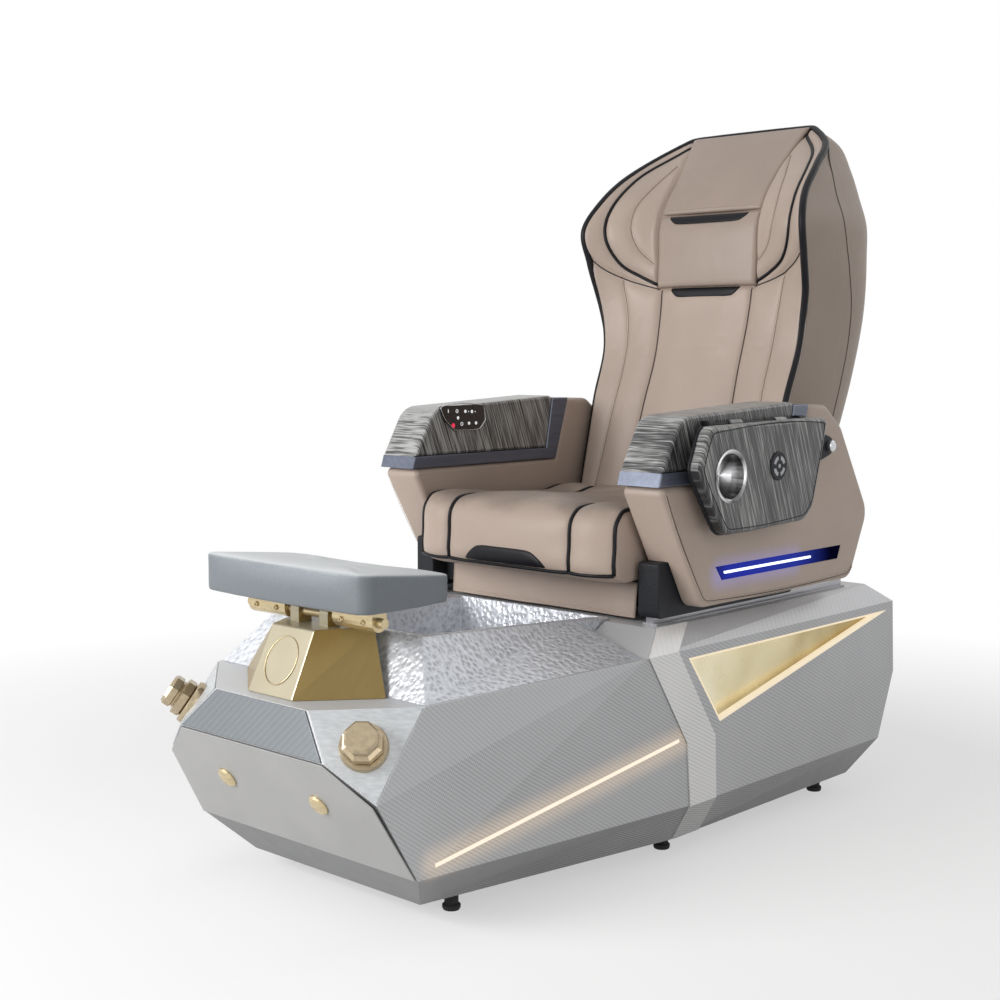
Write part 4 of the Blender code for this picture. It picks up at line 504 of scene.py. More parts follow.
def rounding(distance, radius):
    """How far a rounded edge falls back at a distance from the edge."""
    d = np.clip(radius - np.asarray(distance, float), 0, radius)
    return radius - np.sqrt(np.maximum(radius**2 - d**2, 0))


def rounded(points, radii, steps=6):
    """Round the corners of an outline, with one radius for each."""
    longest = 0.45
    result = []
    for i, point in enumerate(points):
        here = Vector(point)
        before = Vector(points[i - 1]) - here
        after = Vector(points[(i + 1) % len(points)]) - here
        if radii[i] <= 0.0:
            result.append((here.x, here.y))
            continue
        half = before.angle(after) / 2
        length = min(radii[i] / math.tan(half), longest * before.length, longest * after.length)
        arc = length * math.tan(half)
        middle = here + (before.normalized() + after.normalized()).normalized() * (arc / math.sin(half))
        first = here + before.normalized() * length - middle
        sweep = first.angle_signed(here + after.normalized() * length - middle)
        for k in range(steps + 1):
            c, s = math.cos(-sweep * k / steps), math.sin(-sweep * k / steps)
            result.append((middle.x + first.x * c - first.y * s, middle.y + first.x * s + first.y * c))
    return result


def inset(points, margin):
    """Move every edge of an outline inwards by one margin."""
    p = np.array(points, float)
    turn = np.sum(p[:, 0] * np.roll(p[:, 1], -1) - np.roll(p[:, 0], -1) * p[:, 1])
    ahead = np.roll(p, -1, 0) - p
    ahead /= np.linalg.norm(ahead, axis=1)[:, None]
    inward = np.stack([-ahead[:, 1], ahead[:, 0]], 1) * (1.0 if turn > 0 else -1.0)
    corner = inward + np.roll(inward, 1, 0)
    share = np.maximum(np.sum(corner * inward, 1), 0.2)
    return p + corner * (margin / share)[:, None]


# Bodies
TUBE_SKEW, TURN_SKEW = (0.3, 0.5, 0.81), (0.2, 0.3, 0.93)
STITCH_STEP, STITCH_PITCH, STITCH_LENGTH, STITCH_RADIUS = 0.001, 0.0055, 0.0036, 0.0008


def piece(name, verts, faces, finish, body, smooth=True, bend=None):
    """A mesh in the drawing frame that rides on a body. Edges sharper than bend degrees stay sharp."""
    mesh = bpy.data.meshes.new(name)
    places = (np.asarray(verts, float) + np.array(SHIFT)).tolist()
    mesh.from_pydata(places, [], [tuple(int(i) for i in face) for face in faces])
    bm = bmesh.new()
    bm.from_mesh(mesh)
    bmesh.ops.remove_doubles(bm, verts=bm.verts, dist=1e-6)
    bmesh.ops.recalc_face_normals(bm, faces=bm.faces)
    bm.to_mesh(mesh)
    bm.free()
    mesh.materials.append(finish)
    mesh.polygons.foreach_set("use_smooth", [smooth] * len(mesh.polygons))
    if smooth and bend is not None:
        mesh.set_sharp_from_angle(angle=math.radians(bend))
    obj = bpy.data.objects.new(name, mesh)
    SCENE.collection.objects.link(obj)
    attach(obj, body)
    return obj


def grid(rows, wrap=False, start=0):
    """Quads over an array of rows of points."""
    count, width = len(rows), len(rows[0])
    faces = []
    for r in range(count - 1):
        for c in range(width if wrap else width - 1):
            d = (c + 1) % width
            here, above = start + r * width, start + (r + 1) * width
            faces.append((here + c, here + d, above + d, above + c))
    return faces


def tube_rings(rings):
    """A closed body over rings of equal count, with flat ends."""
    width = len(rings[0])
    verts = [p for ring in rings for p in ring]
    faces = grid(rings, True)
    faces.append(tuple(reversed(range(width))))
    faces.append(tuple(range(len(verts) - width, len(verts))))
    return verts, faces


def shell_between(front, rear):
    """A closed body between two grids of the same size."""
    front, rear = np.asarray(front), np.asarray(rear)
    rows, cols = front.shape[:2]
    verts = np.concatenate([front.reshape(-1, 3), rear.reshape(-1, 3)])
    faces = grid(front) + [tuple(reversed(f)) for f in grid(rear, start=rows * cols)]
    edge = list(range(cols))
    edge += [r * cols + cols - 1 for r in range(1, rows)]
    edge += [(rows - 1) * cols + c for c in range(cols - 2, -1, -1)]
    edge += [r * cols for r in range(rows - 2, 0, -1)]
    for i, a in enumerate(edge):
        b = edge[(i + 1) % len(edge)]
        faces.append((a, rows * cols + a, rows * cols + b, b))
    return verts, faces


def tube(path, radius, sides=8, closed=False, taper=1.0):
    """A round tube along a path. taper is the share of the radius at its two ends."""
    p = np.asarray(path, float)
    along = np.roll(p, -1, 0) - np.roll(p, 1, 0) if closed else np.gradient(p, axis=0)
    along /= np.linalg.norm(along, axis=1)[:, None]
    side = np.cross(along[0], TUBE_SKEW)
    turn = np.arange(sides) * 2 * math.pi / sides
    rings = []
    for i, (point, t) in enumerate(zip(p, along)):
        side = side - t * (side @ t)
        side /= np.linalg.norm(side)
        up = np.cross(t, side)
        r = radius * (taper if i in (0, len(p) - 1) else 1.0)
        rings.append(point + r * (np.cos(turn)[:, None] * side + np.sin(turn)[:, None] * up))
    if closed:
        verts = np.concatenate(rings)
        return verts, [tuple(i % len(verts) for i in face) for face in grid(rings + rings[:1], True)]
    verts, faces = tube_rings([ring.tolist() for ring in rings])
    return np.array(verts), faces


def merged(parts):
    """Several bodies as one mesh."""
    verts, faces = [], []
    for v, f in parts:
        start = sum(len(x) for x in verts)
        verts.append(np.asarray(v, float))
        faces += [tuple(i + start for i in face) for face in f]
    return np.concatenate(verts), faces


def stitches(path, normal, lift=0.0004):
    """Short thread tubes along a path, just proud of the surface."""
    line = even(path, STITCH_STEP)
    every, size = (int(round(length / STITCH_STEP)) for length in (STITCH_PITCH, STITCH_LENGTH))
    n = np.asarray(normal, float)
    parts = []
    for start in range(1, len(line) - size, every):
        dash = line[start:start + size + 1:max(1, size // 3)] + n * lift
        dash[[0, -1]] -= n * lift * 1.5
        parts.append(tube(dash, STITCH_RADIUS, 5, taper=0.45))
    return parts


def eased(outline, low, high, edge, steps=5):
    """An outline in y and z carried along x, with rounded ends."""
    rings = []
    for x, turn in ((low, 1.0), (high, -1.0)):
        part = []
        for k in range(steps + 1):
            angle = math.pi / 2 * k / steps
            margin, rise = edge * (1 - math.sin(angle)), edge * (1 - math.cos(angle))
            part.append([(x + turn * rise, u, v) for u, v in inset(outline, margin)])
        rings += part if turn > 0 else part[::-1]
    return tube_rings(rings)


def prism(outline, low, high):
    """An outline in y and z carried along x."""
    return tube_rings([[(low, u, v) for u, v in outline], [(high, u, v) for u, v in outline]])


def box(low, high):
    (a, b, c), (d, e, f) = low, high
    return prism([(b, c), (e, c), (e, f), (b, f)], a, d)


def turned(profile, centre, axis, sides=24):
    """A body turned from a profile of radius and height about an axis."""
    axis = np.asarray(axis, float) / np.linalg.norm(axis)
    side = np.cross(axis, TURN_SKEW)
    side /= np.linalg.norm(side)
    up = np.cross(axis, side)
    turn = np.arange(sides) * 2 * math.pi / sides
    spokes = np.cos(turn)[:, None] * side + np.sin(turn)[:, None] * up
    return tube_rings([(np.asarray(centre) + axis * h + spokes * r).tolist() for r, h in profile])


def cut(obj, verts, faces):
    """Take a body out of a piece."""
    tool = piece("cutter", verts, faces, PIPING, obj["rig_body"], smooth=False)
    made = obj.modifiers.new("cut", "BOOLEAN")
    made.operation = "DIFFERENCE"
    made.solver = "EXACT"
    made.object = tool
    bpy.context.view_layer.update()
    mesh = bpy.data.meshes.new_from_object(obj.evaluated_get(bpy.context.evaluated_depsgraph_get()))
    obj.modifiers.remove(made)
    obj.data = mesh
    bpy.data.objects.remove(tool, do_unlink=True)


def puff(obj, pinned, pressure, cap, frames=20):
    """Blow a cover up between its pinned seams by cloth simulation, and cap how far a point moves."""
    rest = np.array([v.co for v in obj.data.vertices], float)
    group = obj.vertex_groups.new(name="pin")
    group.add([int(i) for i in np.flatnonzero(pinned(rest - np.array(SHIFT)))], 1.0, "REPLACE")
    cloth = obj.modifiers.new("cloth", "CLOTH")
    for name, value in {"quality": 5, "mass": 0.3, "tension_stiffness": 25, "compression_stiffness": 25,
                        "bending_stiffness": 3, "use_pressure": True, "uniform_pressure_force": pressure,
                        "vertex_group_mass": "pin"}.items():
        setattr(cloth.settings, name, value)
    cloth.settings.effector_weights.gravity = 0
    cloth.point_cache.frame_start = 1
    cloth.point_cache.frame_end = frames
    for number in range(1, frames + 1):
        SCENE.frame_set(number)
    done = obj.evaluated_get(bpy.context.evaluated_depsgraph_get())
    move = np.array([v.co for v in done.data.vertices], float) - rest
    size = np.linalg.norm(move, axis=1)
    move *= np.minimum(1.0, cap / np.maximum(size, 1e-9))[:, None]
    obj.modifiers.remove(cloth)
    obj.vertex_groups.remove(group)
    obj.data.vertices.foreach_set("co", (rest + move).astype(np.float32).ravel())
    obj.data.update()
    SCENE.frame_set(1)


def subdivide(obj):
    made = obj.modifiers.new("subdivision", "SUBSURF")
    made.levels = made.render_levels = 1


def skin(obj):
    """The finished surface of a cover, for lines that are laid on it."""
    bpy.context.view_layer.update()
    return BVHTree.FromObject(obj, bpy.context.evaluated_depsgraph_get())


def laid(surface, line, lift):
    """Carry a line in x and z onto the front of a finished surface."""
    before_all = -1.0
    path = []
    for x, z in line:
        hit = surface.ray_cast(Vector((x, before_all, z)) + SHIFT, Vector((0, 1, 0)))[0]
        if hit is not None:
            path.append((x, hit.y - SHIFT.y - lift, z))
    return np.array(path)


# Backrest
BACK_Z = (0.665, 0.780, 0.893, 1.019, 1.118, 1.217, 1.294, 1.350, 1.411, 1.478, 1.518)
back_half = hermite(BACK_Z, (0.260, 0.267, 0.272, 0.277, 0.288, 0.299, 0.303, 0.288, 0.271, 0.227, 0.165))
back_edge = hermite(BACK_Z, (0.388, 0.423, 0.456, 0.500, 0.496, 0.467, 0.452, 0.487, 0.557, 0.663, 0.713))
back_centre = hermite(BACK_Z, (0.388, 0.428, 0.464, 0.505, 0.528, 0.538, 0.542, 0.566, 0.615, 0.672, 0.707))
back_rear = hermite(BACK_Z, (0.665, 0.749, 0.803, 0.844, 0.862, 0.866, 0.860, 0.841, 0.804, 0.770, 0.764))
BACK_LOW, BACK_HIGH = BACK_Z[0], BACK_Z[-1]
PILLOW_LOW, PILLOW_SPLIT, PILLOW_HIGH = 1.152, 1.322, 1.519
pillow_half = hermite((1.15, 1.32, 1.42, 1.47, 1.52), (0.139, 0.142, 0.145, 0.153, 0.164))
RIM_DEPTH, CENTRE_DEPTH, TOP_SHARE = 0.024, 0.052, 0.72
WING_LOW, WING_RISE, WING_SWELL = 1.14, 0.10, 0.14
SEAM_DEPTH, SEAM_REACH = 0.0110, 0.011
FOLD_DEPTH, FOLD_REACH = 0.0045, 0.008
COVER_PROUD, COVER_THICK, SPLIT_GAP = 0.002, 0.004, 0.0006
BED_DEPTH, BED_MARGIN = 0.014, 0.001
RIM_SHARE, RIM_INSET = 0.93, 0.004

INNER_PIPING = ((0.160, 1.500), (0.235, 1.430), (0.257, 1.350), (0.260, 1.302), (0.251, 1.250),
                (0.226, 1.208), (0.182, 1.180), (0.136, 1.158))
WING_SEAM = ((0.299, 1.226), (0.270, 1.200), (0.230, 1.178), (0.136, 1.149))
WING_STITCH = ((0.160, 1.448), (0.184, 1.395), (0.201, 1.335), (0.199, 1.290), (0.180, 1.240), (0.147, 1.208))
SIDE_STITCH = ((0.228, 1.172), (0.213, 1.095), (0.205, 1.000), (0.204, 0.920), (0.208, 0.850), (0.213, 0.680))
CENTRE_SEAM = ((0.127, 1.146), (0.124, 1.060), (0.121, 0.980), (0.125, 0.880), (0.128, 0.780), (0.128, 0.672))
GROOVE_STEP, LINE_STEP, THREAD_STEP = 0.012, 0.006, 0.004


def both(line, step=LINE_STEP):
    """A line on the left half and its mirror image, at an even step."""
    left = even(line, step)
    return left, left * np.array([-1.0, 1.0])


BACK_LINES = [line for shape in (INNER_PIPING, WING_SEAM, CENTRE_SEAM) for line in both(shape, GROOVE_STEP)]
SOFT_LINES = [line for shape in (WING_STITCH, SIDE_STITCH) for line in both(shape, GROOVE_STEP)]


def back_bare(x, z):
    """Front of the backrest before seams."""
    share = np.abs(x) / back_half(z)
    bulge = np.clip(16 * (share - 0.5) * (1 - share), 0, 1) ** 1.2
    swell = WING_SWELL * smooth_step((z - WING_LOW) / WING_RISE) * bulge
    return back_centre(z) + (back_edge(z) - back_centre(z)) * (share**3 + swell)


def window(value, low, high, soft):
    """1 between two limits, with soft ends."""
    return smooth_step(np.minimum(value - low, high - value) / soft + 0.5)


def back_front(x, z):
    """Front of the padded cover, with its seams, rounded rim and the bed of the pillows."""
    x, z = np.asarray(x, float), np.asarray(z, float)
    flat = np.stack([x.ravel(), z.ravel()], 1)
    sewn = reach(flat, BACK_LINES).reshape(x.shape)
    soft = reach(flat, SOFT_LINES).reshape(x.shape)
    seams = SEAM_DEPTH * np.exp(-(sewn / SEAM_REACH) ** 1.2)
    folds = FOLD_DEPTH * np.exp(-(soft / FOLD_REACH) ** 1.4)
    bed_half, above = pillow_half(z) + BED_MARGIN, PILLOW_HIGH + 0.081
    bed = window(x, -bed_half, bed_half, 0.012) * window(z, PILLOW_LOW - 2 * BED_MARGIN, above, 0.014)
    rim = rounding(back_half(z) - np.abs(x), 0.013) + rounding(BACK_HIGH - z, 0.010)
    return back_bare(x, z) + seams + folds - COVER_PROUD + BED_DEPTH * bed + rim


def back_split(x, z):
    """The joint between the padded cover and the rear shell."""
    share = np.abs(x) / back_half(z)
    deep = back_centre(z) + np.minimum(CENTRE_DEPTH, TOP_SHARE * (back_rear(z) - back_centre(z)))
    return deep + (back_edge(z) + RIM_DEPTH - deep) * share**3


def build_back():
    """Padded cover. Its columns crowd round the centre seams and at the rim."""
    half = np.concatenate([np.linspace(0, 0.40, 13), np.linspace(0.41, 0.51, 14),
                           np.linspace(0.525, RIM_SHARE, 26), np.linspace(0.94, 1.0, 9)])
    shares = mirrored(half)
    heights = np.concatenate([np.linspace(BACK_LOW, 1.500, 136), [1.506, 1.511, 1.515, BACK_HIGH]])
    z = np.repeat(heights[:, None], len(shares), 1)
    x = shares[None, :] * back_half(z)
    front = np.stack([x, back_front(x, z), z], 2)
    rim = back_half(z) - RIM_INSET
    rear_y = np.maximum(back_split(x, z) - SPLIT_GAP, front[:, :, 1] + COVER_THICK)
    rear = np.stack([np.clip(x, -rim, rim), rear_y, z], 2)
    cover = piece("back_cover", *shell_between(front, rear), LEATHER, "backrest")
    count = front.shape[0] * front.shape[1]
    edge = np.abs(shares) > RIM_SHARE

    def pinned(co):
        near = reach(co[:, [0, 2]], BACK_LINES + SOFT_LINES) < 0.007
        bed = (np.abs(co[:, 0]) < pillow_half(co[:, 2]) + 0.012) & (co[:, 2] > PILLOW_LOW - 0.012)
        held = np.ones(len(co), bool)
        held[:count] = (near | bed)[:count]
        held[:count].reshape(front.shape[:2])[:, edge] = True
        held[:count].reshape(front.shape[:2])[[0, -1, -2, -3, -4]] = True
        return held
    puff(cover, pinned, 3.0, 0.004)
    subdivide(cover)
    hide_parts("back_pad")
    surface = skin(cover)
    build_back_piping(surface)
    build_back_sewing(surface)


RIM_CORD, WING_CORD = 0.0082, 0.0040
RIM_CORD_OUT, RIM_CORD_BACK, RIM_CORD_TUCK = 0.001, 0.008, 0.0065
RAISED_ARM_Z, RAISED_ARM_FADE = 1.14, 0.08


def build_back_piping(surface):
    """A thick cord round the rim, tucked in where the raised arms pass, and a thin one in each wing."""
    heights = np.linspace(BACK_LOW + 0.004, BACK_HIGH - 0.006, 40)
    rows = even([(back_half(h), h) for h in heights], 0.008)
    tuck = RIM_CORD_TUCK * np.clip((RAISED_ARM_Z - rows[:, 1]) / RAISED_ARM_FADE, 0, 1)
    side = np.stack([rows[:, 0] + RIM_CORD_OUT - tuck, back_edge(rows[:, 1]) + RIM_CORD_BACK, rows[:, 1]], 1)
    xs = np.linspace(0.150, -0.150, 24)
    level = np.full(len(xs), BACK_HIGH)
    top = np.stack([xs, back_bare(xs, level) + 0.012, level - 0.001], 1)
    loop = np.concatenate([side, top, (side * np.array([-1, 1, 1]))[::-1]])
    parts = [tube(even(loop, 0.007), RIM_CORD, 10)]
    for line in both(INNER_PIPING):
        parts.append(tube(laid(surface, line, 0.0008), WING_CORD, 8))
    piece("back_piping", *merged(parts), PIPING, "backrest")


def build_back_sewing(surface):
    """Dark seams, and soft folds with a row of stitches on each side."""
    row_gap, wing_gap = 0.0045, 0.006
    threads, seams, folds = [], [], []
    for line in both(WING_SEAM) + both(CENTRE_SEAM):
        seams.append(tube(laid(surface, line, 0.0002), 0.0017, 6))
    for shape in (WING_STITCH, SIDE_STITCH):
        for line in both(shape, THREAD_STEP):
            folds.append(tube(laid(surface, line, 0.0), 0.0010, 6))
            for offset in (-row_gap, row_gap):
                threads += stitches(laid(surface, aside(line, offset), 0.0), FORWARD)
    for line in both(WING_SEAM, THREAD_STEP):
        threads += stitches(laid(surface, aside(line, wing_gap), 0.0), FORWARD)
    piece("back_stitching", *merged(threads), THREAD, "backrest")
    piece("back_seams", *merged(seams), DARK_THREAD, "backrest")
    piece("back_folds", *merged(folds), SOFT_THREAD, "backrest")


# Pillows
PILLOW_GAP = 0.001
PILLOW_PROUD, PILLOW_CROWN, PILLOW_BACK = 0.006, 0.006, 0.010
PILLOW_SIDE_ROUND, PILLOW_END_ROUND = 0.012, 0.009
HEM_RISE = 0.012


def pillow_front(x, z, low, high):
    half = pillow_half(z)
    u, v = np.abs(x) / half, np.abs(2 * z - low - high) / (high - low)
    crown = PILLOW_CROWN * (1 - u**2.5) * (1 - v**3)
    ends = rounding(z - low, PILLOW_END_ROUND) + rounding(high - z, PILLOW_END_ROUND)
    return back_centre(z) - PILLOW_PROUD - crown + rounding(half - np.abs(x), PILLOW_SIDE_ROUND) + ends


def build_pillow(name, node, low, high):
    pinned_end = 0.010
    ends = np.array([0.0, 0.002, 0.005])
    middle = np.linspace(low + pinned_end, high - pinned_end, 26)
    heights = np.concatenate([low + ends, middle, high - ends[::-1]])
    shares = mirrored(1 - (1 - np.linspace(0, 1, 24)) ** 1.5)
    z = np.repeat(heights[:, None], len(shares), 1)
    x = shares[None, :] * pillow_half(z)
    front = np.stack([x, pillow_front(x, z, low, high), z], 2)
    rear = np.stack([x * 0.985, back_centre(z) + PILLOW_BACK, z], 2)
    pillow = piece(name, *shell_between(front, rear), PILLOW_LEATHER, "backrest")
    count = front.shape[0] * front.shape[1]

    def pinned(co):
        x, z = np.abs(co[:, 0]), co[:, 2]
        inner = (x < pillow_half(z) - PILLOW_SIDE_ROUND) & (z > low + pinned_end) & (z < high - pinned_end)
        held = np.ones(len(co), bool)
        held[:count] = ~inner[:count]
        return held
    puff(pillow, pinned, 3.0, 0.005)
    subdivide(pillow)
    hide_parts(node)
    hem = np.full(60, low + HEM_RISE)
    across = np.linspace(-0.97, 0.97, len(hem)) * pillow_half(hem)
    path = np.stack([across, pillow_front(across, hem, low, high), hem], 1)
    piece(name + "_stitching", *merged(stitches(path, FORWARD, 0.0008)), THREAD, "backrest")


# Pull tabs
TAB_BED = 0.003


def build_tab(name, body, surface, wide, narrow, length, thick=0.004):
    """A sewn black pull tab. The surface gives a point and its outward normal for a place on it."""
    rows, cols = 9, 33
    front, rear = [], []
    for v in np.arange(rows) / (rows - 1):
        size = wide + (narrow - wide) * v**1.5
        line_front, line_rear = [], []
        for u in 2 * np.arange(cols) / (cols - 1) - 1:
            point, normal = surface(u * size, v * length * (1 - 0.10 * abs(u) ** 6))
            lift = thick * (1 - 0.55 * abs(u) ** 8) * (1 - 0.55 * abs(2 * v - 1) ** 6)
            line_front.append(np.array(point) + np.array(normal) * lift)
            line_rear.append(np.array(point) - np.array(normal) * TAB_BED)
        front.append(line_front)
        rear.append(line_rear)
    subdivide(piece(name, *shell_between(front, rear), PIPING, body))


def neck_surface(x, v):
    """Places down the front of the neck cushion from its top."""
    z = PILLOW_SPLIT - 0.004 - v
    return [x, float(pillow_front(x, z, PILLOW_LOW, PILLOW_SPLIT - PILLOW_GAP)), z], FORWARD


def lumbar_surface(x, v):
    """Places down the back cover from the neck cushion."""
    z = PILLOW_LOW - PILLOW_GAP - v
    return [x, float(back_front(np.array([x]), np.array([z]))[0]), z], FORWARD


# Rear shell of the back
SHELL_SETBACK = 0.004
SHELL_BULGE = 0.003
SHELL_TOP_Z, SHELL_TOP_RADIUS = 1.455, 0.0635
SHELL_SEAM_RADIUS = 0.0012
SHELL_SEAM = ((0.700, 1.490), (0.640, 1.437), (0.636, 1.301), (0.678, 1.190), (0.708, 1.103), (0.712, 1.017),
              (0.690, 0.928), (0.660, 0.840))
MIDDLE_SEAM_Z = (0.70, 1.47)
TONGUE_HALF, TONGUE_RADIUS, TONGUE_DEPTH, TONGUE_TOP = 0.236, 0.026, 0.045, 0.684
RECLINE_Y, RECLINE_Z = 0.452, 0.602


def shell_bend(z):
    """Power of the shell's plan: squarer below the wings than at the head."""
    return 0.35 + 0.09 * smooth_step((z - 1.00) / 0.28)


def shell_start(z):
    return back_edge(z) + RIM_DEPTH + SHELL_SETBACK


def shell_ring(z, shares, turns):
    """One level of the shell: the joint with the cover, then the round rear."""
    wide, start, rear, bend = back_half(z) - RIM_INSET, shell_start(z), back_rear(z), shell_bend(z)
    fade = math.sqrt(max(0.0, 1 - (max(z - SHELL_TOP_Z, 0.0) / SHELL_TOP_RADIUS) ** 2))
    ring = [(s * wide, float(back_split(s * wide, z)), z) for s in shares]
    for t in turns:
        c, s = math.cos(t) ** bend, math.copysign(abs(math.sin(t)) ** bend, math.sin(t))
        y = start + (rear - start) * c * (0.45 + 0.55 * fade)
        ring.append((s * (wide + SHELL_BULGE * fade), max(y, start), z))
    return ring


def on_shell(y, z):
    """Half width of the shell at a place on its side."""
    start, bend = float(shell_start(z)), shell_bend(z)
    c = np.clip((y - start) / (float(back_rear(z)) - start), 0.0, 0.999) ** (1 / bend)
    return (float(back_half(z)) - RIM_INSET + SHELL_BULGE) * max(0.0, 1 - c * c) ** (bend / 2)


def build_shell():
    heights = np.concatenate([np.linspace(BACK_LOW, 1.490, 92), [1.496, 1.502, 1.507, 1.511, 1.5145, 1.517]])
    shares = mirrored(np.linspace(0, 1, 30))
    turns = np.linspace(-math.pi / 2, math.pi / 2, 72)[-2:0:-1]
    rings = [shell_ring(z, shares, turns) for z in heights]
    shell = piece("back_shell_cover", *tube_rings(rings), SHELL, "backrest", bend=60)
    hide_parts("back_shell")
    side = even(SHELL_SEAM, LINE_STEP)
    paths = [[(sign * on_shell(y, z), y, z) for y, z in side] for sign in SIGNS]
    paths.append([(0.0, float(back_rear(z)) + 0.0004, z) for z in np.linspace(*MIDDLE_SEAM_Z, 100)])
    parts = [tube(path, SHELL_SEAM_RADIUS, 6) for path in paths]
    piece("shell_seams", *merged(parts), DARK_THREAD, "backrest")
    foot = eased(tongue_outline(), -TONGUE_HALF, TONGUE_HALF, 0.004, 2)
    piece("back_tongue", *foot, BLACK, "backrest", bend=40)


def tongue_outline():
    """The steel foot of the backrest, round the recline shaft."""
    y, z, r = RECLINE_Y, RECLINE_Z, TONGUE_RADIUS
    arc = [(y + r * math.cos(a), z + r * math.sin(a)) for a in np.linspace(math.pi, 2 * math.pi, 17)]
    return [(y, TONGUE_TOP)] + arc + [(y + r + TONGUE_DEPTH, TONGUE_TOP)]


# Seat
SEAT_LOOP = ((-0.130, 0.5585), (-0.1460, 0.568), (-0.1505, 0.6250), (-0.1430, 0.678), (-0.122, 0.698),
             (-0.090, 0.704), (-0.022, 0.699), (0.108, 0.686), (0.260, 0.683), (0.345, 0.688), (0.369, 0.668),
             (0.370, 0.595), (0.352, 0.558), (0.170, 0.5556), (-0.032, 0.5556))
SEAT_PROFILE = even(SEAT_LOOP, 0.010, closed=True)
SEAT_SEAM, SEAT_EDGE, SEAT_END, SEAT_HALF = 0.166, 0.2640, 0.2695, 0.270
SEAT_UNDER_Z = 0.572
SEAT_SWELL = 0.004
SEAT_CORNER_X, SEAT_CORNER_CUT = 0.180, 0.020
seat_draw = hermite(
    (0.0, 0.080, 0.140, 0.158, SEAT_SEAM, 0.174, 0.195, 0.215, 0.245, 0.258, SEAT_EDGE, 0.268, SEAT_HALF),
    (-SEAT_SWELL, -0.003, 0.000, 0.0035, 0.0085, 0.0035, -0.002, -0.0025, 0.001, 0.004, 0.009, 0.017, 0.030))


def seat_normals():
    along = np.roll(SEAT_PROFILE, -1, 0) - np.roll(SEAT_PROFILE, 1, 0)
    out = np.stack([-along[:, 1], along[:, 0]], 1)
    return out / np.linalg.norm(out, axis=1)[:, None]


SEAT_NORMALS = seat_normals()


def seat_ring(x, lift=0.0):
    """The seat's section at x: drawn in at its seams, less so below, with the front corners cut back."""
    draw = float(seat_draw(abs(x))) - lift
    under = np.clip((SEAT_UNDER_Z - SEAT_PROFILE[:, 1]) / 0.012, 0, 1)
    share = np.where(SEAT_NORMALS[:, 1] < -0.5, 0.25, 1.0) * (1 - 0.3 * under)
    ring = SEAT_PROFILE - SEAT_NORMALS * (np.maximum(draw, -SEAT_SWELL) * share)[:, None]
    corner = np.clip((abs(x) - SEAT_CORNER_X) / (SEAT_EDGE - SEAT_CORNER_X), 0, 1) ** 2
    ring[:, 0] += SEAT_CORNER_CUT * corner * np.clip((-0.050 - ring[:, 0]) / 0.080, 0, 1)
    return np.column_stack([np.full(len(ring), x), ring])


def build_seat():
    xs = np.concatenate([np.linspace(0, 0.150, 13), [0.158, 0.163, SEAT_SEAM, 0.169, 0.174],
                         np.linspace(0.182, 0.250, 10), [0.257, 0.262, SEAT_EDGE, 0.2670, 0.2685, SEAT_END]])
    rings = [seat_ring(x) for x in mirrored(xs)]
    for sign in (-1.0, 1.0):
        edge = seat_ring(sign * SEAT_END)
        centre = edge.mean(0)
        caps = [centre + (edge - centre) * share + np.array([sign * grow, 0, 0])
                for share, grow in ((0.90, 0.0012), (0.70, 0.0022), (0.40, 0.0028))]
        rings = caps[::-1] + rings if sign < 0 else rings + caps
    seat = piece("seat_cover", *tube_rings([r.tolist() for r in rings]), SEAT_LEATHER, "chair")

    def pinned(co):
        x = np.abs(co[:, 0])
        return (np.abs(x - SEAT_SEAM) < 0.006) | (x > 0.255) | (co[:, 2] < SEAT_UNDER_Z) | (co[:, 1] > 0.350)
    puff(seat, pinned, 4.0, 0.008)
    subdivide(seat)
    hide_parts("seat_cushion")
    shown = seat_shown()
    build_seat_piping(shown)
    build_seat_tab([k for k in shown if SEAT_PROFILE[k, 0] < -0.100 and SEAT_PROFILE[k, 1] < 0.66])
    build_apron()


def seat_shown():
    """Points of the profile from the lower front edge over the top to the rear edge."""
    edges = np.array((SEAT_LOOP[1], SEAT_LOOP[9]))
    begin, end = (int(np.argmin(np.linalg.norm(SEAT_PROFILE - edge, axis=1))) for edge in edges)
    count = len(SEAT_PROFILE)
    return [(begin + k) % count for k in range((end - begin) % count + 1)]


def build_seat_piping(shown):
    cord, edge_cord = 0.0040, 0.0042
    parts = []
    for sign in SIGNS:
        parts.append(tube(seat_ring(sign * SEAT_SEAM, 0.0025)[shown], cord, 8))
        parts.append(tube(seat_ring(sign * SEAT_EDGE, 0.0025)[shown], edge_cord, 8))
    low = [seat_ring(x, 0.0020)[shown[0]] for x in np.linspace(-SEAT_EDGE, SEAT_EDGE, 60)]
    parts.append(tube(low, cord, 8))
    piece("seat_piping", *merged(parts), PIPING, "chair")


def build_seat_tab(face):
    """Pull tab on the front face of the seat, just over its lower piping."""
    start = 0.006
    run = run_along(SEAT_PROFILE[face])

    def surface(x, v):
        ring = seat_ring(x)[face]
        point = [x] + [np.interp(start + v, run, ring[:, axis]) for axis in (Y, Z)]
        return point, [0] + [np.interp(start + v, run, SEAT_NORMALS[face, axis]) for axis in (0, 1)]
    build_tab("seat_tab", "chair", surface, 0.111, 0.076, 0.034, 0.006)


APRON_HALF, APRON_TOP, APRON_DROP = 0.255, 0.547, 0.071
APRON_Y, APRON_SWING, APRON_HALF_THICK = -0.0385, 0.007, 0.0011
APRON_HEM_ROW, APRON_HEM_Z = 12, 0.4845


